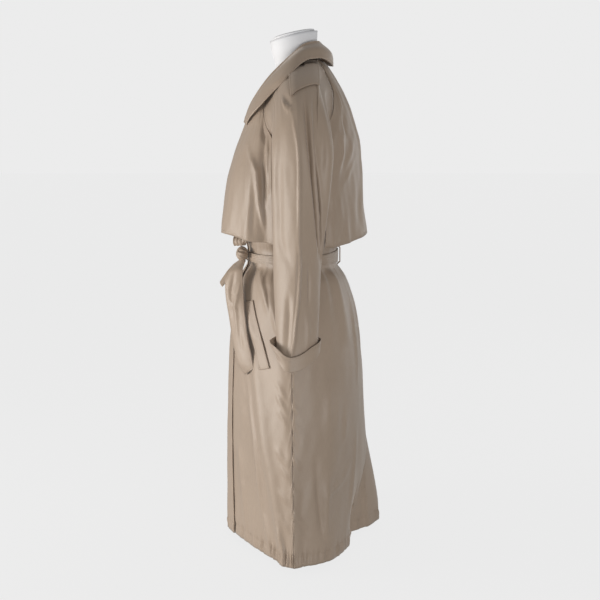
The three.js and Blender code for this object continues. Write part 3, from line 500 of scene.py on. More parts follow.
@dataclass(frozen=True)
class Fold:
    """A long soft fold of the coat's body, from a low place to a high place.

    Attributes:
        low: Its lower end's turn and height.
        high: Its upper end's turn and height.
        width: Its half width in degrees.
        height: Its height; a trough is negative.
        fade: How far it fades below its lower end.
        top_fade: How far it fades above its upper end.
    """

    low: tuple[float, float]
    high: tuple[float, float]
    width: float
    height: float
    fade: float
    top_fade: float

    def over(self, turn: np.ndarray, z: np.ndarray) -> np.ndarray:
        """The heights over places of the body."""
        share = np.clip((z - self.low[1]) / (self.high[1] - self.low[1]), -0.2, 1.2)
        crest = mix(self.low[0], self.high[0], share)
        fade = smooth_step(self.low[1] - self.fade, self.low[1], z)
        fade = fade * (1 - smooth_step(self.high[1], self.high[1] + self.top_fade, z))
        return self.height * fade * bell(between_turns(np.abs(turn), crest), self.width)


BODY_FOLDS = (
    Fold((67, 15), (44, 420), 7, 9, 90, 90),
    Fold((103, 15), (99, 190), 9, -8, 110, 110),
    Fold((38, 540), (24, 655), 5, 6, 60, 25),
    Fold((74, 520), (50, 655), 6, 7, 60, 25),
    Fold((139, 540), (136, 655), 6, 7, 60, 25),
    Fold((127, 15), (122, 330), 9, 6, 120, 120),
)
GATHER_COUNT = 12
GATHER_HEIGHT = 4
GATHER_WIDTH = 4.5
FINE_GATHER_COUNT = 31
FINE_GATHER_HEIGHT = 1.8
FINE_GATHER_WIDTH = 1.5
FINE_GATHER_LEAN = 0.02


def between_turns(a: np.ndarray, b: np.ndarray | float) -> np.ndarray:
    """The turn from one to another, between half a turn back and half a turn on."""
    return np.mod(a - b + 900.0, 360.0) - 180.0


def bare_body(turn: np.ndarray, z: np.ndarray) -> Points:
    """The coat's body without its folds."""
    turn, z = np.broadcast_arrays(np.asarray(turn, float), np.asarray(z, float))
    sine, cosine = np.sin(np.radians(turn)), np.cos(np.radians(turn))
    front = cosine > 0
    lens = np.where(front, BODY_RINGS.read(z, "lens_front"), BODY_RINGS.read(z, "lens_back"))
    fullness = np.where(front, 1.0, 1.0 + BACK_FULLNESS * (1.0 + cosine))
    share = mix(np.abs(cosine) * fullness, 1.0 - np.abs(sine) ** LENS_POWER, lens)
    depth = share * np.where(front, BODY_RINGS.read(z, "front"), BODY_RINGS.read(z, "back"))
    return joined(BODY_RINGS.read(z, "side") * sine, np.where(front, -depth, depth), z)


def drape(turn: np.ndarray, z: np.ndarray) -> np.ndarray:
    """The height of the folds and of the gathers at the waist."""
    height = sum(fold.over(turn, z) for fold in BODY_FOLDS)
    below = smooth_step(-(WAIST_HEIGHT - 16), -(WAIST_HEIGHT - 50), -z)
    below = below * smooth_step(WAIST_HEIGHT - 170, WAIST_HEIGHT - 60, z)
    above = smooth_step(WAIST_HEIGHT + 16, WAIST_HEIGHT + 40, z)
    above = above * (1 - smooth_step(WAIST_HEIGHT + 60, WAIST_HEIGHT + 130, z))
    for k in range(GATHER_COUNT):
        place = k * 180 / GATHER_COUNT + 4 * math.sin(k * 2.4)
        tall = GATHER_HEIGHT * (0.6 + 0.4 * math.sin(k * 1.7))
        height = height + tall * (below + above) * bell(between_turns(np.abs(turn), place), GATHER_WIDTH)
    near = bell(z - WAIST_HEIGHT - 38, 20) + bell(z - WAIST_HEIGHT + 34, 17)
    for k in range(FINE_GATHER_COUNT):
        lean = (z - WAIST_HEIGHT) * FINE_GATHER_LEAN * math.sin(k * 2.3)
        place = k * 180 / FINE_GATHER_COUNT + 2.2 * math.sin(k * 5.1) + lean
        tall = FINE_GATHER_HEIGHT * (0.55 + 0.45 * math.sin(k * 3.7))
        height = height + tall * near * bell(between_turns(np.abs(turn), place), FINE_GATHER_WIDTH)
    return height


def body_cloth(turn: np.ndarray, z: np.ndarray) -> Points:
    """The outer face of the coat's body with its folds."""
    turn, z = np.broadcast_arrays(np.asarray(turn, float), np.asarray(z, float))
    out = outward(bare_body, turn, z, TURN_STEP, HEIGHT_STEP)
    return bare_body(turn, z) + out * drape(turn, z)[..., None]


def body_normal(turn: np.ndarray, z: np.ndarray) -> Points:
    """The outward direction of the coat's body."""
    return outward(body_cloth, np.asarray(turn, float), np.asarray(z, float), TURN_STEP, HEIGHT_STEP)


def on_body(turn: np.ndarray, z: np.ndarray, lift: np.ndarray | float) -> Points:
    """A place that stands off the body cloth."""
    return body_cloth(turn, z) + body_normal(turn, z) * np.asarray(lift, float)[..., None]


def seam_place(angle: np.ndarray, side: float) -> tuple[Points, Points, Points]:
    """The raglan seam, moved off to one side.

    Args:
        angle: The angle round the sleeve.
        side: How far it is moved; a positive side lies on the sleeve.

    Returns:
        The points, the body's outward directions and the directions across the seam.
    """

    def seam(at: np.ndarray) -> tuple[np.ndarray, np.ndarray]:
        wrapped = between_turns(at, 0.0)
        return SLEEVE_HEAD.read(wrapped, "turn"), SLEEVE_HEAD.read(wrapped, "z")

    turn, z = seam(angle)
    normal = body_normal(turn, z)
    along = unit(body_cloth(*seam(angle + 1.5)) - body_cloth(*seam(angle - 1.5)))
    across = unit(np.cross(along, normal))
    return body_cloth(turn, z) + across * side, normal, across


@dataclass(frozen=True)
class Vent:
    """How a back panel's lower inner edge is drawn in or runs on behind.

    Attributes:
        edge_turn: Where the panel's centre-back edge goes at the hem.
        power: How late the panel leaves the body's form.
        lifts: How far it stands off, by the turn.
    """

    edge_turn: float
    power: float
    lifts: Table

    def place(self, low_turn: np.ndarray, z: np.ndarray) -> tuple[np.ndarray, np.ndarray]:
        """The turn and the lift of a thread of the panel at a height."""
        share = 1 - smooth_step(HEM_HEIGHT + 20, VENT_TOP, z)
        drawn = smooth_step(110, 180, low_turn) * smooth_step(0.15, 1, share)
        turn = mix(low_turn, self.edge_turn, drawn)
        return turn, share**self.power * self.lifts.read(turn, "lift")


VENT_LEFT = Vent(165, 3, Table("turn lift", [(138, 0), (150, -10), (158, -28), (165, -40)]))
VENT_RIGHT = Vent(
    202,
    0.75,
    Table(
        "turn lift",
        [
            (86, 0), (150, 8), (168, 38), (180, -20), (183, -28), (186, -35), (190, -44), (195, -58),
            (202, -70),
        ],
    ),
)

SIDE_CREASES = (
    Crease(((-113, 448), (-100, 343), (-91, 284), (-84, 204), (-76, 106)), 4.5, 7, 1.4),
    Crease(((-127, 404), (-109, 355)), 1.6, 4),
    Crease(((-125, 345), (-118, 322)), 1.3, 4),
    Crease(((-132, 244), (-119, 180)), 1.5, 6),
    Crease(((-44, 431), (-17, 390)), 1.6, 4),
    Crease(((-44, 408), (-16, 358)), 1.8, 4.5),
    Crease(((-39, 369), (-17, 335)), 1.5, 4),
    Crease(((-44, 282), (-15, 243)), 1.5, 5),
    Crease(((-33, 243), (-13, 213)), 1.3, 4),
    Crease(((-38, 189), (-15, 159)), 1.6, 4.5),
    Crease(((-34, 130), (-12, 96)), 1.6, 4.5),
    Crease(((-8, 385), (12, 363)), 1.4, 4),
    Crease(((-8, 344), (16, 321)), 1.3, 4),
    Crease(((-8, 271), (16, 236)), 1.8, 4.5),
    Crease(((-8, 196), (19, 173)), 1.3, 4),
    Crease(((-8, 142), (30, 102)), 2.0, 5),
    Crease(((-6, 119), (30, 79)), 2.0, 4.5),
    Crease(((48, 262), (53, 182), (64, 84), (76, 53)), -3.5, 8, 1.3),
    Crease(((76, 220), (70, 81), (79, 40)), 2.8, 7),
    Crease(((132, 225), (109, 187), (86, 177), (72, 163)), 2.2, 6),
    Crease(((119, 347), (115, 289), (104, 272)), 1.8, 6),
    Crease(((160, 163), (146, 103), (135, 49)), 2.6, 5),
    Crease(((143, 194), (132, 117), (121, 45)), 2.4, 5),
    Crease(((80, 420), (74, 300)), 1.8, 9),
    Crease(((-78, 681), (-66, 635), (-60, 584), (-48, 532)), -3.0, 8, 1.3),
    Crease(((-70, 110), (-54, 30)), 2.4, 6),
    Crease(((-40, 100), (-20, 28)), 2.0, 5),
)
BACK_CREASES = (
    Crease(((-70, 640), (-95, 500), (-110, 380)), 3, 9, 1.2, Plane.BACK),
    Crease(((60, 640), (85, 520), (90, 400)), 3, 9, 1.2, Plane.BACK),
    Crease(((20, 650), (28, 560), (30, 470)), 2.4, 8, 1.2, Plane.BACK),
    Crease(((-30, 640), (-38, 540)), 2.2, 7, 1.2, Plane.BACK),
    Crease(((-130, 300), (-150, 170), (-160, 60)), 3, 9, 1.2, Plane.BACK),
    Crease(((105, 300), (125, 170), (130, 60)), 2.5, 9, 1.2, Plane.BACK),
)
FRONT_CREASES = (
    Crease(((-60, 640), (-80, 520), (-85, 400)), 3, 8, 1.2, Plane.FRONT),
    Crease(((30, 640), (45, 540), (50, 450)), 2.6, 8, 1.2, Plane.FRONT),
    Crease(((-90, 330), (-110, 180), (-115, 60)), 3, 9, 1.2, Plane.FRONT),
    Crease(((80, 250), (100, 140), (105, 50)), 3, 9, 1.2, Plane.FRONT),
    Crease(((-10, 300), (-14, 180)), 1.8, 7, 1.2, Plane.FRONT),
)


HEM_ROW = HEM_HEIGHT + 26
HEM_PUCKER_HEIGHT = 2.3
HEM_PRESS_DEPTH = 2.0


def hem_band(z: np.ndarray, across: np.ndarray) -> np.ndarray:
    """The stitched hem: a row pressed in above the edge, with small puckers to both sides of it."""
    pucker = np.sin(across * 0.42) + 0.7 * np.sin(across * 0.29 + 1.3) + 0.5 * np.sin(across * 0.63 + 0.4)
    return HEM_PUCKER_HEIGHT * pucker * bell(z - HEM_ROW + 8, 16) - HEM_PRESS_DEPTH * bell(z - HEM_ROW, 2.6)


class BodyPanels:
    """The two fronts and the two backs of the coat."""

    ROW_STEP = 6.0
    TOP_ROWS = 36
    LAP_TURN = 15.0
    LAP_FADE_TURN = 29.0
    LAP_LIFT = 3.0
    SEAM_MARKS = 60
    SIDE_GAP_TURN = 0.12
    FRONT_COLUMNS = 84
    BACK_COLUMNS = 76
    FRONT_RAGLAN_SHARE = 0.66
    BACK_RAGLAN_SHARE = 0.8
    TURN_LENGTH = 2.9
    SIDE_TURN_LENGTH = 4.2

    def threads(self, front: bool, columns: int) -> tuple[np.ndarray, ...]:
        """The low turn, the top turn, the top height and the seam angle of each thread of a panel.

        Args:
            front: True for a front panel.
            columns: How many threads.

        Returns:
            Four lists; the angle is not a number where the thread ends on the neckline.
        """
        if front:
            angles = np.linspace(-180, -32, self.SEAM_MARKS)
            low = np.linspace(SIDE_TURN - self.SIDE_GAP_TURN, FRONT_LOW_TURN_AT_NECK, self.SEAM_MARKS)
            neck = np.array([29, 22, 15, 7, 0, -7, -15], float)
            neck_low = np.array([29, 22, 15, 7, 0, -5, -10], float)
        else:
            angles = np.linspace(180, 36, self.SEAM_MARKS)
            low = np.linspace(SIDE_TURN + self.SIDE_GAP_TURN, BACK_LOW_TURN_AT_NECK, self.SEAM_MARKS)
            neck = np.array([150, 160, 170, 179.9])
            neck_low = np.linspace(BACK_LOW_TURN_AT_NECK, 179.9, 5)[1:]
        raglan = int(columns * (self.FRONT_RAGLAN_SHARE if front else self.BACK_RAGLAN_SHARE))
        marks = np.arange(self.SEAM_MARKS)
        at = np.linspace(0, marks[-1], raglan)
        rest = np.linspace(0, len(neck), columns - raglan + 1)[1:]
        knots = np.arange(len(neck) + 1)
        last_turn = float(SLEEVE_HEAD.read(angles[-1], "turn"))
        rest_top = np.interp(rest, knots, np.concatenate([[last_turn], neck]))
        rest_low = np.interp(rest, knots, np.concatenate([[low[-1]], neck_low]))
        seam_angles = np.interp(at, marks, angles)
        low_turn = np.concatenate([np.interp(at, marks, low), rest_low])
        top_turn = np.concatenate([SLEEVE_HEAD.read(seam_angles, "turn"), rest_top])
        top_z = np.concatenate([SLEEVE_HEAD.read(seam_angles, "z"), NECKLINE.read(rest_top, "z")])
        angle = np.concatenate([seam_angles, np.full(len(rest), np.nan)])
        return low_turn, top_turn, top_z, angle

    def panel(self, front: bool, lap: float, vent: Vent | None) -> Points:
        """The outer points of one panel on the wearer's left.

        Args:
            front: True for a front panel.
            lap: How far its free edge stands off, over the other front.
            vent: How its centre-back edge opens, for a back panel.

        Returns:
            Rows of columns of points.
        """
        columns = self.FRONT_COLUMNS if front else self.BACK_COLUMNS
        low_turn, top_turn, top_z, angle = self.threads(front, columns)
        levels = np.arange(HEM_HEIGHT, BEND_FROM, self.ROW_STEP)
        turn, z = np.meshgrid(low_turn, levels)
        lift = np.zeros_like(turn)
        if vent is not None:
            turn, lift = vent.place(turn, z)
        share = np.linspace(0, 1, self.TOP_ROWS)[:, None]
        high_z = mix(BEND_FROM, top_z[None, :], share)
        high_turn = mix(low_turn[None, :], top_turn[None, :], smooth_step(0, 1, share))
        turn = np.concatenate([turn, high_turn])
        z = np.concatenate([z, high_z])
        lift = np.concatenate([lift, np.zeros_like(high_z)])
        if front:
            lift = lift + lap * (1 + 0.3 * smooth_step(880, 980, z)) * (
                1 - smooth_step(self.LAP_TURN, self.LAP_FADE_TURN, turn)
            )
        points = on_body(turn, z, lift)
        on_seam = ~np.isnan(angle)
        points[-1, on_seam] = seam_place(angle[on_seam], -SEAM_HALF_GAP)[0]
        across = turn * self.TURN_LENGTH
        fine = hem_band(z, across) + self.side_seam(turn, z) + Waves(11, 34, 0.35, 3.0).over(across, z)
        fine = fine * (1 - 0.8 * smooth_step(0.9, 1.0, np.linspace(0, 1, len(z))[:, None] ** 2))
        return points + grid_normals(points, False) * fine[..., None] * self.facing(points)

    @staticmethod
    def facing(points: Points) -> float:
        """1 where a grid's own directions point away from the body, or -1."""
        rows, columns = points.shape[0] // 3, points.shape[1] // 2
        normal = grid_normals(points, False)[rows, columns]
        place = points[rows, columns] * np.array([1.0, 1.0, 0.0])
        return 1.0 if float(normal @ place) > 0 else -1.0

    def side_seam(self, turn: np.ndarray, z: np.ndarray) -> np.ndarray:
        """The side seam's groove with the small slanted puckers that its stitches draw."""
        off = (np.abs(turn) - SIDE_TURN) * self.SIDE_TURN_LENGTH
        slant = np.sin((z + np.abs(off) * 1.5) * 0.155)
        slant = slant + 0.6 * np.sin((z + np.abs(off) * 1.2) * 0.271 + 1.0)
        below_waist = 1 - smooth_step(560, 640, z)
        return (0.55 * slant * bell(off - 7 * np.sign(off), 12) - 1.0 * bell(off, 1.8)) * below_waist

    def build(self) -> list[ClothMesh]:
        """The four panels' cloth."""
        creases = SIDE_CREASES + BACK_CREASES + FRONT_CREASES
        made = []
        for name, front, lap, vent, side in (
            ("front_left", True, 0.0, None, Side.LEFT),
            ("front_right", True, self.LAP_LIFT, None, Side.RIGHT),
            ("back_left", False, 0.0, VENT_LEFT, Side.LEFT),
            ("back_right", False, 0.0, VENT_RIGHT, Side.RIGHT),
        ):
            points = mirrored(self.panel(front, lap, vent), side)
            made.append(ClothMesh(name, shaped(points, creases)))
        return made


def shaped(points: Points, creases: tuple[Crease, ...], closed: bool = False) -> Points:
    """A grid turned so that its own directions point away from the body, then creased."""
    normals = grid_normals(points, closed)
    middle = points.reshape(-1, 3).mean(axis=0) * np.array([1.0, 1.0, 0.0])
    heart = middle if closed else np.zeros(3)
    away = (normals * (points - heart) * np.array([1.0, 1.0, 0.0])).sum()
    if away < 0:
        points = points[:, ::-1]
    return creased(points, creases, closed)


SLEEVE_RINGS = Table(
    "z inner outer front rear crest sharp",
    [
        (470, 232, 303, -37, 50, -10, 0.1),
        (540, 219, 296, -41, 52, -6, 0.25),
        (620, 200, 290, -45, 56, 0, 0.5),
        (690, 185, 287, -47, 59, 4, 0.55),
        (750, 182, 286, -48, 66, 6, 0.55),
        (840, 186, 286, -49, 77, 8, 0.55),
        (930, 196, 283, -50, 85, 8, 0.55),
    ],
)
PLEAT = Table(
    "z angle depth",
    [
        (690, 70, 0), (740, 62, 7), (790, 55, 12), (830, 48, 14), (893, 39, 15), (957, 32, 13),
        (1034, 27, 7), (1080, 25, 0),
    ],
)
CUFF_EDGES = Table(
    "away low high",
    [(0, 468, 503), (14, 470, 506), (48, 486, 524), (90, 507, 535), (135, 512, 539), (180, 515, 541)],
)
CUFF_PATH = Table(
    "along out rise",
    [(0, 0, 5.6), (0.12, 0.4, 3.2), (0.24, 2.2, 2.1), (0.36, 4, 3.4), (0.6, 4.6, 14), (1, 6, 0)],
)

SLEEVE_CREASES = (
    Crease(((-4, 1020), (1, 991), (8, 959), (10, 907), (10, 828), (10, 733)), 2.6, 4.5, 1.6),
    Crease(
        ((10, 760), (11, 700), (9, 660), (7, 627), (4, 596), (1, 570), (-1, 539), (-8, 500)), 4.2, 4, 1.8
    ),
    Crease(((-28, 1060), (-20, 1043), (-5, 1031)), 3.6, 3.6, 1.5),
    Crease(((-22, 1068), (-11, 1046)), -1.2, 5),
    Crease(((22, 1060), (27, 1018), (33, 966), (44, 881), (53, 790), (58, 715)), -10.0, 4.2, 0.8),
    Crease(((34, 1040), (42, 966), (54, 881), (62, 800)), 1.6, 5),
    Crease(((-14, 640), (-13, 590), (-16, 540), (-20, 500)), -3.2, 7),
    Crease(((31, 700), (32, 650), (30, 610)), -2.2, 3.6, 1.6),
    Crease(((-30, 990), (-34, 900), (-33, 800), (-31, 700)), -2.4, 9),
    Crease(((-33, 760), (-12, 700)), -1.6, 8),
    Crease(((26, 600), (30, 560), (28, 520)), 1.8, 5),
    Crease(((58, 1050), (62, 980), (60, 900)), -2.4, 8),
    Crease(((62, 830), (50, 760), (44, 700)), 1.8, 6),
)


class Sleeves:
    """The two raglan sleeves with their turned-back cuffs."""

    CAP_LOW = 930.0
    LENGTH_UNIT = 100.0
    CREST_POWER = 1.2
    SHOULDER_SLOPE = -0.4
    PLEAT_WIDTH = 10.0
    PLEAT_FRONT_SHARE = 0.46
    PLEAT_REAR_SHARE = 1.7
    PLEAT_NORMAL_STEP = 9
    PLEAT_ANGLE = 45.0
    PLEAT_SPREAD = 45.0
    COLUMNS = 265
    CAP_ROWS = 30
    LOWER_ROWS = 64
    LOW_END = 490.0
    CUFF_INSET = 6.0
    CUFF_CLEARANCE = 1.3
    CUFF_GAPE = 9.0

    def ring(self, angle: np.ndarray, z: np.ndarray) -> Points:
        """The sleeve below the armhole: a lens with a crest along its outer side."""
        angle, z = np.broadcast_arrays(np.asarray(angle, float), np.asarray(z, float))
        cosine, sine = np.cos(np.radians(angle)), np.sin(np.radians(angle))
        inner, outer = SLEEVE_RINGS.read(z, "inner"), SLEEVE_RINGS.read(z, "outer")
        middle, crest = mix(inner, outer, 0.45), SLEEVE_RINGS.read(z, "crest")
        roof = mix(np.abs(cosine), 1 - np.abs(sine) ** self.CREST_POWER, SLEEVE_RINGS.read(z, "sharp"))
        x = np.where(cosine > 0, mix(middle, outer, roof), mix(middle, inner, -cosine))
        rear, front = SLEEVE_RINGS.read(z, "rear"), SLEEVE_RINGS.read(z, "front")
        return joined(x, np.where(sine > 0, mix(crest, rear, sine), mix(crest, front, -sine)), z)

    def cap(self, angle: np.ndarray, step: np.ndarray) -> Points:
        """The sleeve's cap, from the seam at step 0 to the first ring at step 1."""
        seam, _, across = seam_place(angle, SEAM_HALF_GAP)
        end = self.ring(angle, np.full_like(angle, self.CAP_LOW))
        reach = np.linalg.norm(end - seam, axis=-1, keepdims=True)
        off = np.abs(angle)
        over = 0.7 * (1 - smooth_step(20, 75, off)) + 0.3 * (1 - smooth_step(98, 122, off))
        over = over[..., None]
        shoulder = unit(np.array([1.0, 0.0, self.SHOULDER_SLOPE]))
        leave = unit(mix(across, shoulder, over)) * 1.1 * reach
        arrive = np.array([0.0, 0.0, -1.3]) * reach
        t = np.asarray(step, float)[..., None]
        start = seam * (2 * t**3 - 3 * t**2 + 1) + leave * (t**3 - 2 * t**2 + t)
        return start + end * (3 * t**2 - 2 * t**3) + arrive * (t**3 - t**2)

    def plain(self, angle: np.ndarray, length: np.ndarray) -> Points:
        """The sleeve without its pleat, by the angle round it and the length down it."""
        angle, length = np.broadcast_arrays(np.asarray(angle, float), np.asarray(length, float))
        cap = self.cap(angle, np.clip(length, 0, 1))
        ring = self.ring(angle, self.CAP_LOW - (length - 1) * self.LENGTH_UNIT)
        return np.where((length <= 1)[..., None], cap, ring)

    def outside(self, angle: np.ndarray, length: np.ndarray) -> Points:
        """The sleeve with the deep pleat behind its crest."""
        angle, length = np.broadcast_arrays(np.asarray(angle, float), np.asarray(length, float))
        points = self.plain(angle, length)
        z = points[..., 2]
        away = angle - PLEAT.read(z, "angle")
        share = np.where(away < 0, self.PLEAT_FRONT_SHARE, self.PLEAT_REAR_SHARE)
        depth = PLEAT.read(z, "depth") * bell(away, self.PLEAT_WIDTH * share)
        depth = np.where((angle < 0) | (angle > 120) | (length < 0.1), 0.0, depth)
        normal = outward(self.plain, angle, length, self.PLEAT_NORMAL_STEP, -0.01)
        return points - normal * depth[..., None]

    def sleeve(self) -> Points:
        """The left sleeve's outer points, down to just inside the cuff's fold.

        Returns:
            Rows of columns of points. The columns near the pleat follow it down the sleeve.
        """
        even = np.linspace(-180, 180, self.COLUMNS)[None, :]
        cap = np.linspace(0.0, 1.0, self.CAP_ROWS) ** 1.1
        below = np.linspace(0, 1, self.LOWER_ROWS)[1:]
        cap_heights = self.plain(self.PLEAT_ANGLE, cap)[..., 2]
        heights = np.concatenate([cap_heights, mix(self.CAP_LOW, self.LOW_END, below)])
        shift = PLEAT.read(heights, "angle")[:, None] - self.PLEAT_ANGLE
        angles = even + shift * bell(even - self.PLEAT_ANGLE, self.PLEAT_SPREAD)
        end = self.CAP_LOW - CUFF_EDGES.read(np.abs(angles[len(cap) :]), "low") - self.CUFF_INSET
        lower = mix(1.0, 1 + end / self.LENGTH_UNIT, below[:, None])
        lengths = np.concatenate([np.repeat(cap[:, None], self.COLUMNS, axis=1), lower])
        return self.outside(angles, lengths)

    def cuff_place(self, angle: np.ndarray, along: np.ndarray) -> Points:
        """The cuff's under face: down from the sleeve, round and up outside."""
        low, high = CUFF_EDGES.read(np.abs(angle), "low"), CUFF_EDGES.read(np.abs(angle), "high")
        rise = CUFF_PATH.read(along, "rise")
        z = np.where(along <= 0.6, low + rise, mix(low + rise, high, (along - 0.6) / 0.4))
        normal = outward(self.ring, angle, z, 1, 2)
        gape = self.CUFF_GAPE * bell(between_turns(angle, -66), 36) * smooth_step(0.45, 1, along)
        lift = CUFF_PATH.read(along, "out") + self.CUFF_CLEARANCE + gape
        return self.ring(angle, z) + normal * lift[..., None]

    def build(self) -> list[ClothMesh]:
        """The sleeves' and the cuffs' cloth."""
        made = []
        angles, along = np.meshgrid(np.linspace(-180, 180, 145), np.linspace(0, 1, 34))
        cuff = self.cuff_place(angles, along)
        row = 0.35 * bell(along - 0.93, 0.02) + 0.35 * bell(along - 0.9, 0.02)
        sleeve = self.sleeve()
        wave = Waves(23, 46, 0.45, 3.2).over(sleeve[..., 1] * 1.4, sleeve[..., 2])
        fade = smooth_step(0, 6, np.arange(len(sleeve)))[:, None]
        for side in Side:
            outer = shaped(mirrored(sleeve, side), (), True)
            calm = wave if side is Side.LEFT else wave[:, ::-1]
            outer = outer + grid_normals(outer, True) * (calm * fade)[..., None]
            made.append(ClothMesh(f"sleeve_{side.word}", creased(outer, SLEEVE_CREASES, True), True))
            turned = shaped(mirrored(cuff, side), (), True)
            turned = turned - grid_normals(turned, True) * row[..., None]
            made.append(ClothMesh(f"cuff_{side.word}", turned, True))
        return made


EDGE_PRESS_DEPTH = 0.45
FLAP_THREADS = Table(
    "low_turn top_turn top_z low_z",
    [
        (9, 9.5, 1022, 757), (18, 17.5, 1041, 757), (27, 28, 1067, 757), (35, 39.5, 1092, 755),
        (42, 43.0, 1078, 752), (49, 47.0, 1038, 749), (56, 53.8, 1006, 746), (63, 60.8, 985, 744),
        (70, 69.2, 964, 742), (76, 78.6, 951, 741),
    ],
)
CAPE_THREADS = Table(
    "low_turn top_turn top_z low_z",
    [
        (116, 115.4, 977, 738), (121, 122.6, 1001, 738), (127, 129.4, 1026, 739), (133, 135.6, 1057, 741),
        (140, 141.4, 1091, 744), (148, 142.2, 1124, 749), (156, 144.5, 1150, 753), (164, 157, 1151, 757),
        (172, 169, 1152, 760), (180, 180, 1153, 761),
    ],
)
FLAP_LIFTS = Table("z lift", [(740, 58), (800, 53), (876, 42), (954, 20), (1007, 5), (1118, 3.4)])
CAPE_LIFTS = Table(
    "z lift",
    [(735, 68), (828, 51), (923, 36), (970, 26), (1017, 14), (1063, 8), (1110, 5), (1156, 3.4)],
)
FLAP_CREASES = (
    Crease(((-107, 960), (-98, 930), (-85, 899), (-81, 833), (-67, 763)), 4.0, 6, 1.3),
    Crease(((-66, 1040), (-69, 959), (-73, 914), (-67, 833)), -4.0, 5.5),
    Crease(((-46, 1010), (-49, 970), (-51, 932), (-53, 858)), 3.2, 5, 1.4),
    Crease(((-92, 860), (-96, 790), (-97, 745)), -2.2, 7),
    Crease(((-30, 900), (-36, 830), (-40, 765)), -2.0, 7),
    Crease(((-60, 1000), (-57, 930), (-60, 850)), -1.8, 3),
)
CAPE_CREASES = (
    Crease(((107, 1000), (106, 936), (94, 890)), 3.0, 5.5, 1.3),
    Crease(((141, 1010), (128, 945), (114, 905)), 2.6, 6),
    Crease(((140, 940), (112, 870)), 2.0, 5),
    Crease(((111, 1060), (114, 980)), -2.2, 5),
    Crease(((122, 1070), (127, 1025)), 1.8, 4),
    Crease(((80, 960), (76, 860), (80, 780)), -2.2, 8),
    Crease(((155, 900), (150, 820), (152, 765)), -2.0, 8),
    Crease(((-50, 1080), (-62, 960), (-80, 800)), 3.2, 9, 1.2, Plane.BACK),
    Crease(((46, 1080), (60, 960), (66, 810)), 3.0, 9, 1.2, Plane.BACK),
    Crease(((6, 1100), (0, 960), (8, 820)), -2.6, 10, 1.2, Plane.BACK),
)


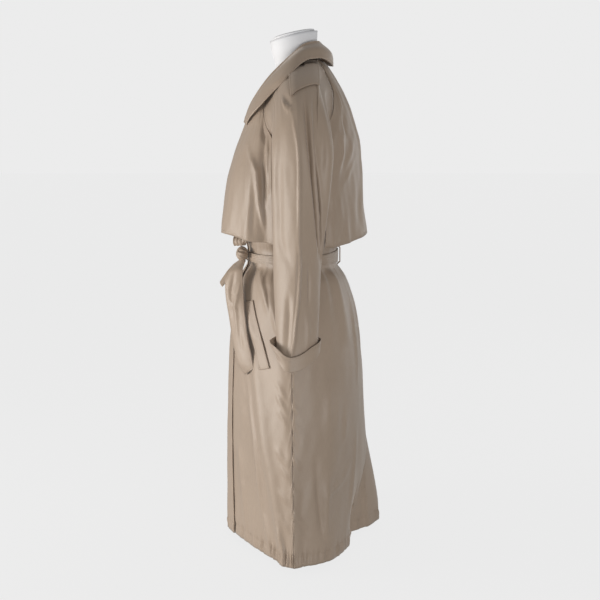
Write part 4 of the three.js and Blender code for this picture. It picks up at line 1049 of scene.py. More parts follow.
class Flaps:
    """The front storm flaps and the back cape, which hang loose from their seams."""

    CLEARANCE = 3.4
    SEAM_LIFT = 2.0
    SEAM_FROM = 0.84
    LAP = 4.8
    ROWS = 64
    BETWEEN_THREADS = 7
    HEM_INSET = 7
    HEM_PRESS = 1.6

    def hanging(
        self,
        threads: Table,
        lift: Callable[[np.ndarray, np.ndarray, np.ndarray], np.ndarray],
        mirror: bool,
        first: tuple[float, float],
    ) -> Points:
        """The outer points of a loose flap.

        Args:
            threads: Its threads.
            lift: How far it stands off, by the low turn, the share up and the height.
            mirror: True for a cape that goes on past the back.
            first: The low turn and the top turn of its first thread.

        Returns:
            Rows of columns of points.
        """
        low = threads.places.copy()
        tops = threads.columns["top_turn"].copy()
        low[0], tops[0] = first
        at = np.linspace(0, len(low) - 1, self.BETWEEN_THREADS * (len(low) - 1) + 1)
        low_turn = np.interp(at, np.arange(len(low)), low)
        top_turn = self.smoothed(at, tops)
        top_z = self.smoothed(at, threads.columns["top_z"])
        low_z = self.smoothed(at, threads.columns["low_z"])
        if mirror:
            low_turn = np.concatenate([low_turn, 360 - low_turn[-2::-1]])
            top_turn = np.concatenate([top_turn, 360 - top_turn[-2::-1]])
            top_z = np.concatenate([top_z, top_z[-2::-1]])
            low_z = np.concatenate([low_z, low_z[-2::-1]])
        share = np.linspace(0, 1, self.ROWS)[:, None]
        z = mix(low_z[None, :], top_z[None, :], share)
        turn = mix(low_turn[None, :], top_turn[None, :], smooth_step(0.35, 1, share))
        stand = lift(*np.broadcast_arrays(low_turn[None, :], share), z)
        normal = outward(bare_body, turn, z, TURN_STEP, HEIGHT_STEP)
        return body_cloth(turn, z) + normal * stand[..., None]

    @staticmethod
    def smoothed(at: np.ndarray, values: np.ndarray) -> np.ndarray:
        """A row of values read on a smooth curve by rank."""
        rows = [(float(i), float(value)) for i, value in enumerate(values)]
        return Table("rank value", rows).read(at, "value")

    def flap_lift(self, low_turn: np.ndarray, share: np.ndarray, z: np.ndarray) -> np.ndarray:
        """How far a front flap stands off the front."""
        stand = self.CLEARANCE + (FLAP_LIFTS.read(z, "lift") - self.CLEARANCE) * mix(
            1, 0.42, smooth_step(20, 76, low_turn)
        )
        wave = -9 * bell(low_turn - 61, 6) + 7 * bell(low_turn - 50, 6)
        stand = stand + wave * np.sqrt(1 - share) * smooth_step(-1, -0.5, -share)
        stand = mix(stand, self.SEAM_LIFT, smooth_step(self.SEAM_FROM, 1, share))
        return stand + self.LAP * (1 - smooth_step(21, 50, low_turn))

    def cape_lift(self, low_turn: np.ndarray, share: np.ndarray, z: np.ndarray) -> np.ndarray:
        """How far the cape stands off the back."""
        near = np.where(low_turn > 180, 360 - low_turn, low_turn)
        stand = self.CLEARANCE + (CAPE_LIFTS.read(z, "lift") - self.CLEARANCE) * mix(
            0.45, 1, smooth_step(116, 165, near)
        )
        wave = np.sin((low_turn - 116) / 64 * math.pi * 3.5) * smooth_step(-0.8, -0.2, -share)
        stand = stand + 4 * wave * np.cos(np.radians(near - 90))
        return mix(stand, self.SEAM_LIFT, smooth_step(self.SEAM_FROM, 1, share))

    def rolled(self, points: Points) -> Points:
        """Edges and hem bands: rows of stitches pressed in and soft waves between them."""
        up = np.linalg.norm(np.diff(points, axis=0), axis=2).mean(axis=1)
        height = np.concatenate([[0], np.cumsum(up)])[:, None]
        side = np.linalg.norm(np.diff(points, axis=1), axis=2).mean(axis=0)
        across = np.concatenate([[0], np.cumsum(side)])[None, :]
        edges = (height, across, across[:, -1:] - across)
        press = sum(bell(from_edge - self.HEM_INSET, self.HEM_PRESS) for from_edge in edges)
        wave = Waves(31, 30, 0.4, 2.6).over(*np.broadcast_arrays(across, height))
        rise = wave * np.minimum(1, height / 20) - EDGE_PRESS_DEPTH * press
        return points + grid_normals(points, False) * rise[..., None]

    def build(self) -> list[ClothMesh]:
        """The three loose flaps' cloth."""
        made = []
        for side in Side:
            first = (9.0, 9.5) if side is Side.LEFT else (2.0, 8.5)
            points = mirrored(self.hanging(FLAP_THREADS, self.flap_lift, False, first), side)
            made.append(ClothMesh(f"front_flap_{side.word}", self.rolled(shaped(points, FLAP_CREASES))))
        cape = self.hanging(CAPE_THREADS, self.cape_lift, True, (116.0, 118.5))
        made.append(ClothMesh("back_cape", self.rolled(shaped(cape, CAPE_CREASES))))
        return made


COLLAR_STATIONS = Table(
    "at turn roll_x roll_y roll_z edge_x edge_y edge_z",
    [
        (0, 180, 0, 60, 1197, 0, 91, 1141),
        (0.1, 158, 30, 56, 1197, 50, 83, 1145),
        (0.2, 137, 50, 42, 1195, 86, 60, 1154),
        (0.3, 112, 62, 22, 1189, 110, 30, 1149),
        (0.4, 86, 66, 2, 1174, 140, 4, 1131),
        (0.5, 60, 66, -28, 1147, 159, -22, 1103),
        (0.62, 34, 58, -59, 1117, 148, -53, 1073),
        (0.75, 18, 43, -86, 1083, 131, -83, 1041),
        (0.88, 9, 24, -107, 1050, 107, -103, 1019),
        (1, 3, 6, -119, 1021, 84, -112, 1004),
    ],
)
COLLAR_BULGES = Table("at bulge", [(0, 9), (0.6, 9), (1, 5)])
COLLAR_CREASES = (
    Crease(((-20, 1120), (-36, 1100), (-60, 1085)), 1.6, 6),
    Crease(((30, 1160), (34, 1150), (40, 1146)), 1.2, 5),
)


class Collar:
    """The collar and the lapels, one turned-over band."""

    ROLL = 4.0
    FOOT_LIFT = -1.6
    FOOT_RISE = 2.4
    RUN_COUNT = 34
    STEP = 0.01
    EDGE_INSET = 6
    EDGE_PRESS = 1.5
    THICKNESS = 2.0

    def profiles(self, at: np.ndarray, side: Side) -> Points:
        """The band's section at places along one half of it.

        Args:
            at: The places, from the back's middle to the lapel's end.
            side: The wearer's side.

        Returns:
            For each place, the section's points from the foot to the edge.
        """
        turn = COLLAR_STATIONS.read(at, "turn")
        foot_z = NECKLINE.read(turn, "z") + self.FOOT_RISE
        foot = on_body(turn, foot_z, self.FOOT_LIFT)
        roll, edge = COLLAR_STATIONS.point(at, "roll"), COLLAR_STATIONS.point(at, "edge")
        ahead = COLLAR_STATIONS.point(at + self.STEP, "roll")
        behind = COLLAR_STATIONS.point(at - self.STEP, "roll")
        level = unit((edge - roll) * np.array([1.0, 1.0, 0.0])) * self.ROLL
        drop = np.array([0.0, 0.0, -self.ROLL])
        across = edge - roll
        away = unit(np.cross(ahead - behind, across))
        away = away * np.sign((away * level).sum(axis=-1, keepdims=True))
        inside, outside = roll - level + drop, roll + level + drop
        leaf = mix(outside, edge, 0.5) + away * COLLAR_BULGES.read(at, "bulge")[..., None]
        return mirrored(centripetal([foot, inside, roll, outside, leaf, edge], self.RUN_COUNT), side)

    def build(self) -> ClothMesh:
        """The band's cloth, from the right lapel's end round the back to the left one's."""
        half = np.linspace(0, 1, 61)
        left = self.profiles(half, Side.LEFT)
        right = self.profiles(half[:0:-1], Side.RIGHT)
        points = np.concatenate([right, left]).transpose(1, 0, 2)
        rows, columns = points.shape[:2]
        at = np.abs(np.linspace(-1, 1, columns))[None, :]
        from_edge = walk_along(points[::-1], 0)[::-1]
        on_leaf = smooth_step(0.42, 0.5, np.linspace(0, 1, rows))[:, None]
        to_end = walk_along(points, 1)
        to_end = np.minimum(to_end, to_end[:, -1:] - to_end)
        near_edge, near_end = (bell(far - self.EDGE_INSET, self.EDGE_PRESS) for far in (from_edge, to_end))
        press = on_leaf * np.maximum(near_edge, near_end)
        wave = 1.4 * np.sin(from_edge * 0.05 + at * 9) * on_leaf * (1 - at * 0.3)
        notch = 0.6 * bell(at - 0.72, 0.012) * on_leaf
        normals = grid_normals(points, False)
        if normals[-2, columns // 2][1] <= 0:
            points = points[:, ::-1]
            normals = grid_normals(points, False)
            press, wave, notch = press[:, ::-1], wave[:, ::-1], notch[:, ::-1]
        points = points + normals * (wave - EDGE_PRESS_DEPTH * press - notch)[..., None]
        return ClothMesh("collar", creased(points, COLLAR_CREASES), thickness=self.THICKNESS)


def centripetal(marks: list[Points], count: int) -> Points:
    """A smooth run through a few marks, for many places at once.

    Args:
        marks: The marks in order, each an array of points.
        count: How many places each run has.

    Returns:
        The places, one run for each point of the marks.
    """
    first = 2 * marks[0] - marks[1]
    last = 2 * marks[-1] - marks[-2]
    chain = [first, *marks, last]
    spans = len(marks) - 1
    at = np.linspace(0, spans, count)
    runs = []
    for value in at:
        k = min(int(value), spans - 1)
        t = value - k
        p0, p1, p2, p3 = chain[k : k + 4]
        gaps = (p1 - p0, p2 - p1, p3 - p2)
        d0, d1, d2 = (np.maximum(np.linalg.norm(gap, axis=-1, keepdims=True) ** 0.5, 1e-4) for gap in gaps)
        t1 = ((p1 - p0) / d0 - (p2 - p0) / (d0 + d1) + (p2 - p1) / d1) * d1
        t2 = ((p2 - p1) / d1 - (p3 - p1) / (d1 + d2) + (p3 - p2) / d2) * d1
        c2, c3 = -3 * p1 + 3 * p2 - 2 * t1 - t2, 2 * p1 - 2 * p2 + t1 + t2
        runs.append(p1 + t1 * t + c2 * t**2 + c3 * t**3)
    return np.stack(runs, axis=-2)


class ShoulderStraps:
    """The shoulder straps, each with its button."""

    STEPS = (0.12, 0.54)
    ANGLES = (-9.0, 33.0)
    ARCH = 0.035
    SHORTER_REAR = 0.1
    LIFT = 2.6
    THICKNESS = 2.0
    BUTTON_ANGLE = 6.0
    BUTTON_STEP = 0.14
    BUTTON_RADIUS = 8.5

    def __init__(self, sleeves: Sleeves) -> None:
        """Keeps the sleeves that the straps lie on."""
        self.sleeves = sleeves

    def place(self, angle: np.ndarray, step: np.ndarray, lift: float) -> Points:
        """A place over the sleeve's cap."""
        normal = outward(self.sleeves.plain, angle, step, 1, -0.01)
        return self.sleeves.plain(angle, step) + normal * lift

    def build(self) -> list[ClothMesh]:
        """The straps' cloth."""
        made = []
        angles, steps = np.meshgrid(np.linspace(*self.ANGLES, 40), np.linspace(*self.STEPS, 56))
        across = (angles - self.ANGLES[0]) / (self.ANGLES[1] - self.ANGLES[0])
        arch = self.ARCH * 4 * across * (1 - across) + self.SHORTER_REAR * across
        steps = steps - arch * (steps - self.STEPS[0]) / (self.STEPS[1] - self.STEPS[0])
        flat = self.place(angles, steps, self.LIFT + self.THICKNESS)
        for side in Side:
            points = pressed_edges(shaped(mirrored(flat, side), ()), 4.5, 0.4)
            made.append(ClothMesh(f"epaulette_{side.word}", points, thickness=self.THICKNESS))
        return made

    def button(self, side: Side) -> bpy.types.Object:
        """A four-hole button that lies on a strap.

        Args:
            side: The wearer's side.

        Returns:
            The button.
        """
        angle, step = np.array([self.BUTTON_ANGLE]), np.array([self.BUTTON_STEP])
        seat = self.place(angle, step, self.LIFT + self.THICKNESS + 0.25)[0]
        normal = outward(self.sleeves.plain, angle, step, 1, -0.01)[0]
        name = f"strap_button_{side.word}"
        return button_mesh(name, mirrored(seat, side), mirrored(normal, side), self.BUTTON_RADIUS)


def pressed_edges(points: Points, inset: float, depth: float) -> Points:
    """A narrow piece with a row of stitches pressed in along its edges."""
    across, height = walk_along(points, 1), walk_along(points, 0)
    from_edge = np.minimum(across, across[:, -1:] - across)
    from_edge = np.minimum(from_edge, np.minimum(height, height[-1:] - height))
    return points - grid_normals(points, False) * (depth * bell(from_edge - inset, 1.3))[..., None]


BUTTON_PROFILE = [
    (0.0, 0.0), (0.72, 0.0), (0.93, 0.35), (1.0, 1.0), (0.97, 1.7), (0.9, 2.15), (0.8, 2.2),
    (0.7, 1.9), (0.6, 1.55), (0.35, 1.45), (0.0, 1.45),
]
BUTTON_STEPS = 48
HOLE_OFFSET = 0.0021
HOLE_HEIGHT = 0.00105
HOLE_RADIUS = 0.0007
HOLE_DEPTH = 0.0009
HOLE_TOP = 0.00148


def button_mesh(name: str, seat: np.ndarray, normal: np.ndarray, radius: float) -> bpy.types.Object:
    """A turned button with a rim, a dished middle and four holes.

    Args:
        name: The object's name.
        seat: The middle of its underside.
        normal: The way it faces.
        radius: Its radius.

    Returns:
        The button.
    """
    work = turned_shape([(share * radius, z) for share, z in BUTTON_PROFILE], BUTTON_STEPS)
    for k in range(4):
        turn = math.pi / 4 + k * math.pi / 2
        x, y = math.cos(turn) * HOLE_OFFSET, math.sin(turn) * HOLE_OFFSET
        place = Matrix.Translation((x, y, HOLE_HEIGHT))
        hole = bmesh.ops.create_cone(
            work, cap_ends=True, segments=12, radius1=HOLE_RADIUS, radius2=HOLE_RADIUS,
            depth=HOLE_DEPTH, matrix=place,
        )
        for vertex in hole["verts"]:
            vertex.co.z = min(vertex.co.z, HOLE_TOP)
    turn = Vector((0, 0, 1)).rotation_difference(Vector(normal.tolist())).to_matrix().to_4x4()
    place = Matrix.Translation(Vector((seat * METRE).tolist())) @ turn
    bmesh.ops.transform(work, matrix=place, verts=work.verts)
    return finished(name, work)


LONG_END = Table(
    "along front_x front_y rear_x rear_y front_z rear_z",
    [
        (0, 52, -130, 72, -117, 690, 691),
        (0.1, 78, -155, 97, -122, 664, 668),
        (0.22, 82, -164, 104, -121, 634, 638),
        (0.35, 85, -162, 114, -119, 604, 606),
        (0.58, 90, -153, 129, -114, 546, 546),
        (0.8, 102, -144, 143, -104, 491, 491),
        (0.94, 112, -134, 149, -97, 452, 456),
        (1, 122, -117, 151, -95, 427, 447),
    ],
)
SHORT_END = Table(
    "along front_x front_y rear_x rear_y front_z rear_z",
    [
        (0, 42, -128, 53, -116, 691.5, 687.5),
        (0.4, 32, -150, 48, -138, 674, 662),
        (0.75, 30, -168, 46, -160, 652, 640),
        (1, 28, -180, 42, -174, 634, 624),
    ],
)
BELT_CREASES = (
    Crease(((-140, 668), (-150, 620), (-146, 560)), -2.2, 4.5),
    Crease(((-128, 640), (-138, 590), (-134, 520)), 1.8, 4),
    Crease(((-130, 540), (-122, 480)), -1.4, 5),
    Crease(((-150, 600), (-140, 575)), 1.4, 4),
)


class Belt:
    """The tied belt: its band, knot, bow loop, two hanging ends and the loop that carries it behind."""

    HALF_HEIGHT_FRONT = 10.0
    HALF_HEIGHT_BACK = 14.0
    CLEARANCE = 0.8
    THICKNESS = 3.0
    KNOT_PLACE = np.array([61.0, -124.0, 705.0])
    KNOT_SIZE = np.array([19.0, 13.0, 15.0])
    BOW_PLACE = np.array([64.0, -129.0, 735.0])
    BOW_TALL = 13.5
    BOW_DEEP = 12.0
    BOW_WIDE = 26.0
    BOW_OPENING = 60.0
    LOOP_HALF_WIDTH = 6.0
    LOOP_HALF_HEIGHT = 23.0
    LOOP_OUT = 6.5
    LOOP_LIFT = 2.8
    LOOP_THICKNESS = 2.2
    END_THICKNESS = 2.4
    BAND_ROWS = (0.82, 0.42, 0.0)
    BAND_PRESS = 0.4
    WAIST_RADIUS = 146
    WRAP_LEAN = math.radians(24)
    WRAP_THICKNESS = 2.0

    def band(self) -> ClothMesh:
        """The band round the waist, with its stitch rows pressed in and a little crumpled."""
        turns, ups = np.meshgrid(np.linspace(-180, 180, 361), np.linspace(-1, 1, 29))
        near = np.abs(between_turns(turns, 0.0))
        half = mix(self.HALF_HEIGHT_FRONT, self.HALF_HEIGHT_BACK, smooth_step(100, 175, near))
        lift = self.CLEARANCE + self.THICKNESS
        lift = lift + BodyPanels.LAP_LIFT * (1 - smooth_step(BodyPanels.LAP_FADE_TURN, 50, near))
        middle = on_body(turns, np.full_like(turns, WAIST_HEIGHT), lift)
        points = middle + joined(0.0, 0.0, ups * half)
        row = sum(bell(np.abs(ups) - place, 0.05) for place in self.BAND_ROWS)
        crumple = Waves(41, 30, 0.3, 1.2).over(turns * 2.3, ups * half)
        points = shaped(points, (), True)
        points = points + grid_normals(points, True) * (crumple - self.BAND_PRESS * row)[..., None]
        return ClothMesh("belt_band", points, True, self.THICKNESS)

    def ribbon(self, name: str, table: Table, bow: float, rows: int) -> ClothMesh:
        """A hanging end between its two edges.

        Args:
            name: The piece's name.
            table: Its front and rear edges, from the knot down.
            bow: How far its middle stands off the line between its edges.
            rows: How many rows of points it has.

        Returns:
            Its cloth.
        """
        across, along = np.meshgrid(np.linspace(0, 1, 25), np.linspace(0, 1, rows))
        swell = bow * 4 * across * (1 - across)
        points = mix(table.point(along, "front"), table.point(along, "rear"), across[..., None])
        points = points + joined(swell, -0.6 * swell, 0.0)
        ripple = 0.8 * np.sin(along * 21 + across * 2.4) * (0.4 + across) * smooth_step(0.02, 0.2, along)
        points = pressed_edges(shaped(points[::-1], BELT_CREASES), 4.0, 0.35)
        points = points + grid_normals(points, False) * ripple[..., None] * 0.7
        return ClothMesh(name, points, thickness=self.END_THICKNESS)

    def bow(self) -> ClothMesh:
        """The bow loop over the knot."""
        across, rounds = np.meshgrid(np.linspace(0, 1, 25), np.linspace(0, 1, 61))
        angle = np.radians(mix(self.BOW_OPENING / 2, 360 - self.BOW_OPENING / 2, rounds))
        shift = self.BOW_WIDE * (across - 0.5)
        x, y, z = self.BOW_PLACE
        round_out = self.BOW_DEEP * np.sin(angle)
        points = joined(
            x + shift * 0.5 + round_out * 0.82,
            y + shift * 0.78 - round_out * 0.5,
            z - self.BOW_TALL * np.cos(angle) * (1 - 0.12 * across),
        )
        normals = grid_normals(points, False)
        heart = np.array([x, y, z])
        if float((normals * (points - heart)).sum()) < 0:
            points = points[:, ::-1]
            across = across[:, ::-1]
        fold = 0.9 * np.cos(across * 2 * math.pi * 2.5) * bell(rounds - 0.5, 0.6)
        points = points + grid_normals(points, False) * fold[..., None]
        return ClothMesh("belt_bow", pressed_edges(points, 3.5, 0.3))

    def loop(self) -> ClothMesh:
        """The loop at the centre back that the belt runs through."""
        across, up = np.meshgrid(np.linspace(-1, 1, 13), np.linspace(-1, 1, 61))
        turn = 180 - across * self.LOOP_HALF_WIDTH * 360 / (2 * math.pi * self.WAIST_RADIUS)
        lift = self.LOOP_OUT * smooth_step(-1, -0.72, -np.abs(up)) + self.LOOP_LIFT
        points = body_cloth(turn, WAIST_HEIGHT + up * self.LOOP_HALF_HEIGHT) + joined(0.0, lift, 0.0)
        points = pressed_edges(shaped(points, ()), 2.5, 0.3)
        return ClothMesh("belt_loop", points, thickness=self.LOOP_THICKNESS)

    def knot(self) -> bpy.types.Object:
        """The knot: a core with folds that run into it, and the turn of the belt drawn over it."""
        work = bmesh.new()
        bmesh.ops.create_uvsphere(work, u_segments=72, v_segments=48, radius=1.0)
        for vertex in work.verts:
            x, y, z = vertex.co
            out = math.hypot(x, z)
            turn = math.atan2(z, x)
            swell = 1 + 0.14 * math.cos(3 * turn + 0.6) * out
            pull = 0.1 * math.sin(9 * turn + 2.2 * y) * out * out
            place = np.array([x * (swell + pull), y * (1 + pull), z * (swell + pull)])
            vertex.co = (self.KNOT_PLACE + place * self.KNOT_SIZE) * METRE
        wrap = bmesh.new()
        bmesh.ops.create_grid(wrap, x_segments=48, y_segments=16, size=1.0)
        cosine, sine = math.cos(self.WRAP_LEAN), math.sin(self.WRAP_LEAN)
        for vertex in wrap.verts:
            angle = vertex.co.x * math.pi
            across = vertex.co.y
            fold = 1.04 + 0.09 * math.cos(across * 9.5 + 0.8 * math.sin(angle)) - 0.2 * across * across
            x = across * 0.66 + 0.1 * math.sin(angle)
            y, z = -math.cos(angle) * fold, math.sin(angle) * fold
            place = np.array([x * cosine - z * sine, y, x * sine + z * cosine])
            vertex.co = (self.KNOT_PLACE + place * self.KNOT_SIZE) * METRE
        bmesh.ops.remove_doubles(wrap, verts=wrap.verts, dist=1e-5)
        bmesh.ops.recalc_face_normals(wrap, faces=wrap.faces)
        bmesh.ops.solidify(wrap, geom=list(wrap.faces), thickness=self.WRAP_THICKNESS * METRE)
        return joined_pieces("belt_knot_cloth", [work, wrap])

    def build(self) -> list[ClothMesh]:
        """The belt's cut pieces, without the knot."""
        return [
            self.band(),
            self.ribbon("belt_end_long", LONG_END, 3.0, 121),
            self.ribbon("belt_end_short", SHORT_END, 1.5, 45),
            self.bow(),
            self.loop(),
        ]


def joined_pieces(name: str, parts: list[bmesh.types.BMesh]) -> bpy.types.Object:
    """One object from several bmeshes, which are freed here."""
    whole = bmesh.new()
    for part in parts:
        carrier = bpy.data.meshes.new("carrier")
        part.to_mesh(carrier)
        part.free()
        whole.from_mesh(carrier)
        bpy.data.meshes.remove(carrier)
    return finished(name, whole)


class PocketWelts:
    """The slanted pocket welts."""

    LIFT = 3.0
    TOP = (34.0, 598.0)
    LOW = (52.5, 452.0)
    WIDE = 10.5
    SLANT = 9.0

    def build(self) -> list[ClothMesh]:
        """The welts' cloth."""
        across, along = np.meshgrid(np.linspace(0, 1, 25), np.linspace(1, 0, 73))
        turn = mix(self.TOP[0], self.LOW[0], along) + (across - 0.5) * self.WIDE
        z = mix(self.TOP[1], self.LOW[1], along) + (across - 0.5) * self.SLANT
        flat = on_body(turn, z, self.LIFT)
        made = []
        for side in Side:
            points = pressed_edges(shaped(mirrored(flat, side), ()), 4.0, 0.4)
            made.append(ClothMesh(f"pocket_welt_{side.word}", points))
        return made


TORSO_RINGS = Table(
    "z side front back",
    [
        (430, 150, 95, 105), (520, 172, 108, 118), (620, 150, 96, 98), (700, 118, 84, 78),
        (780, 124, 90, 84), (860, 142, 98, 94), (940, 155, 101, 104), (1000, 164, 97, 106),
        (1034, 166, 91, 106), (1058, 162, 81, 101), (1083, 150, 69, 94), (1106, 122, 57, 84),
        (1124, 92, 49, 71), (1140, 66, 45, 55), (1160, 56, 50, 50), (1190, 54, 56, 52),
        (1211, 54, 58, 53),
    ],
)


class DressForm:
    """The limbless dress form that the coat is worn by, on its pole and base."""

    NECK_SLANT = 0.22
    CAP_RADIUS = 50.0
    CAP_THICKNESS = 7.0
    CAP_Y = -2.0
    CAP_GAP = 0.4
    POLE_RADIUS = 14.0
    BASE_RADIUS = 125.0
    BASE_THICKNESS = 10.0
    TORSO_LOW = 430.0
    TORSO_HIGH = 1211.0
    SLANT_FROM = 1150
    TURNED_STEPS = 96
    JOINT_GAP = 0.3
    POLE_EDGE = 0.6

    def torso(self) -> bpy.types.Object:
        """The covered torso with its neck."""
        turns, z = np.meshgrid(np.linspace(0, 360, 97), np.linspace(self.TORSO_LOW, self.TORSO_HIGH, 130))
        sine, cosine = np.sin(np.radians(turns)), np.cos(np.radians(turns))
        depth = np.where(cosine > 0, TORSO_RINGS.read(z, "front"), TORSO_RINGS.read(z, "back"))
        y = -cosine * depth
        slant = self.NECK_SLANT * smooth_step(self.SLANT_FROM, self.TORSO_HIGH, z)
        points = joined(TORSO_RINGS.read(z, "side") * sine, y, z + slant * y)
        work, _ = placed_grid(points)
        bmesh.ops.remove_doubles(work, verts=work.verts, dist=MERGE_DISTANCE)
        bmesh.ops.holes_fill(work, edges=[edge for edge in work.edges if edge.is_boundary], sides=0)
        bmesh.ops.recalc_face_normals(work, faces=work.faces)
        return finished("form_torso_cover", work)

    def turned(self, name: str, profile: list[tuple[float, float]], matrix: Matrix) -> bpy.types.Object:
        """A turned piece from its half section.

        Args:
            name: The object's name.
            profile: The section's points, out and up in millimetres.
            matrix: Where it goes.

        Returns:
            The piece.
        """
        work = turned_shape(profile, self.TURNED_STEPS)
        bmesh.ops.transform(work, matrix=matrix, verts=work.verts)
        return finished(name, work)

    def neck_cap(self) -> bpy.types.Object:
        """The cap on the neck."""
        shape = [
            (0, 0), (0.94, 0), (1, 0.3), (0.99, 0.6), (0.95, 0.82), (0.86, 0.97), (0.7, 1.03), (0, 1.05),
        ]
        profile = [(out * self.CAP_RADIUS, up * self.CAP_THICKNESS) for out, up in shape]
        z = self.TORSO_HIGH + self.NECK_SLANT * self.CAP_Y + self.CAP_GAP
        place = Matrix.Translation((0, self.CAP_Y * METRE, z * METRE))
        tilt = Matrix.Rotation(math.atan(self.NECK_SLANT), 4, "X")
        return self.turned("form_cap_cover", profile, place @ tilt)

    def pole(self) -> bpy.types.Object:
        """The pole."""
        low, high = self.BASE_THICKNESS + self.JOINT_GAP, self.TORSO_LOW - self.JOINT_GAP
        radius, edge = self.POLE_RADIUS, self.POLE_EDGE
        profile = [
            (0, low), (radius - edge, low), (radius, low + edge), (radius, high - edge),
            (radius - edge, high), (0, high),
        ]
        return self.turned("form_pole_tube", profile, Matrix.Identity(4))

    def base(self) -> bpy.types.Object:
        """The base plate with its rolled edge."""
        radius, tall = self.BASE_RADIUS, self.BASE_THICKNESS
        profile = [
            (0, 0), (radius * 0.985, 0), (radius * 0.997, 0.8), (radius, 2.4), (radius, tall - 2.4),
            (radius * 0.996, tall - 0.9), (radius * 0.985, tall), (0, tall),
        ]
        return self.turned("form_base_plate", profile, Matrix.Identity(4))


@dataclass(frozen=True)
class StitchRow:
    """A row of stitches along an edge of a cut piece.

    Attributes:
        points: The row's places on the cloth, in millimetres.
        normals: The cloth's outward directions there.
    """

    PITCH = 3.4
    LOOK = 0.8

    points: Points
    normals: Points

    def places(self) -> tuple[Points, Points, Points]:
        """Each stitch's middle, its direction and the cloth's outward direction."""
        walked = walk_along(self.points, 0)
        count = max(int(walked[-1] / self.PITCH), 2)
        at = (np.arange(count) + 0.5) * walked[-1] / count

        def sample(values: Points, place: np.ndarray) -> Points:
            return np.stack([np.interp(place, walked, values[:, k]) for k in range(3)], axis=1)

        along = unit(sample(self.points, at + self.LOOK) - sample(self.points, at - self.LOOK))
        return sample(self.points, at), along, unit(sample(self.normals, at))


def edge_row(mesh: ClothMesh, edge: str, inset: float) -> StitchRow:
    """A stitch row at a distance from one edge of a cut piece.

    Args:
        mesh: The piece.
        edge: low, high, first or last.
        inset: How far in from the edge.

    Returns:
        The row.
    """
    points = mesh.points
    normals = grid_normals(points, mesh.closed)
    if edge in ("first", "last"):
        points, normals = points.transpose(1, 0, 2), normals.transpose(1, 0, 2)
    if edge in ("high", "last"):
        points, normals = points[::-1], normals[::-1]
    walked = walk_along(points, 0)
    places, directions = [], []
    for column in range(points.shape[1]):
        row = float(np.interp(inset, walked[:, column], np.arange(len(points))))
        low = min(int(row), len(points) - 2)
        share = row - low
        places.append(mix(points[low, column], points[low + 1, column], share))
        directions.append(mix(normals[low, column], normals[low + 1, column], share))
    return StitchRow(np.array(places), unit(np.array(directions)))


class Stitching:
    """Rows of real thread stitches sunk a little into the cloth."""

    HALF_LENGTH = 1.25
    RADIUS = 0.24
    RISE = 0.02
    SIDES = 5
    CHUNK = 300

    def stitch(
        self, work: bmesh.types.BMesh, middle: np.ndarray, along: np.ndarray, normal: np.ndarray
    ) -> None:
        """Adds one stitch.

        Args:
            work: The bmesh that it goes into.
            middle: The stitch's middle.
            along: Its direction.
            normal: The cloth's outward direction.
        """
        axes = np.stack([np.cross(normal, along), normal, along, middle + normal * self.RISE], axis=1)
        bmesh.ops.create_cone(
            work, cap_ends=True, segments=self.SIDES, radius1=self.RADIUS, radius2=self.RADIUS,
            depth=self.HALF_LENGTH * 2, matrix=Matrix([*(axes * METRE).tolist(), [0, 0, 0, 1]]),
        )

    def piece(self, name: str, rows: list[StitchRow]) -> bpy.types.Object:
        """All stitches of one cut piece as one mesh.

        Args:
            name: The object's name.
            rows: Its rows.

        Returns:
            The stitches.
        """
        places = [row.places() for row in rows]
        middles, alongs, normals = (np.concatenate([place[k] for place in places]) for k in range(3))
        parts = []
        for start in range(0, len(middles), self.CHUNK):
            work = bmesh.new()
            for k in range(start, min(start + self.CHUNK, len(middles))):
                self.stitch(work, middles[k], alongs[k], normals[k])
            parts.append(work)
        return joined_pieces(name, parts)


Colour = tuple[float, float, float]
RAMP_ENDS = (0.3, 0.7)


@dataclass(frozen=True)
class NodePen:
    """Draws nodes into a tree."""

    tree: bpy.types.NodeTree

    def fill(self, node: bpy.types.Node, values: dict[str | int, object]) -> bpy.types.Node:
        """Gives a node's sockets their values or their links, and hands the node back."""
        for name, value in values.items():
            if isinstance(value, bpy.types.NodeSocket):
                self.tree.links.new(value, node.inputs[name])
            else:
                node.inputs[name].default_value = value
        return node

    def node(
        self, kind: str, values: dict[str | int, object] | None = None, **settings: object
    ) -> bpy.types.Node:
        """Adds a node, sets its properties and fills its sockets."""
        made = self.tree.nodes.new(kind)
        for name, value in settings.items():
            setattr(made, name, value)
        return self.fill(made, values or {})

    def maths(self, operation: str, first: object, second: object) -> bpy.types.NodeSocket:
        """A math node of two values or sockets."""
        return self.node("ShaderNodeMath", {0: first, 1: second}, operation=operation).outputs[0]

    def weighed(self, *parts: tuple[bpy.types.NodeSocket, float]) -> bpy.types.NodeSocket:
        """The sum of two masks, each times its own share."""
        first, second = (self.maths("MULTIPLY", mask, share) for mask, share in parts)
        return self.maths("ADD", first, second)

    def offset(self, mask: bpy.types.NodeSocket, share: float, start: float) -> bpy.types.NodeSocket:
        """A mask times a share, added to a start."""
        return self.maths("ADD", self.maths("MULTIPLY", mask, share), start)

    def tones(self, mask: bpy.types.NodeSocket, dark: Colour, light: Colour) -> bpy.types.NodeSocket:
        """A colour between a dark and a light one, by a mask."""
        ramp = self.node("ShaderNodeValToRGB", {"Fac": mask})
        for element, place, colour in zip(ramp.color_ramp.elements, RAMP_ENDS, (dark, light)):
            element.position = place
            element.color = (*colour, 1.0)
        return ramp.outputs["Color"]


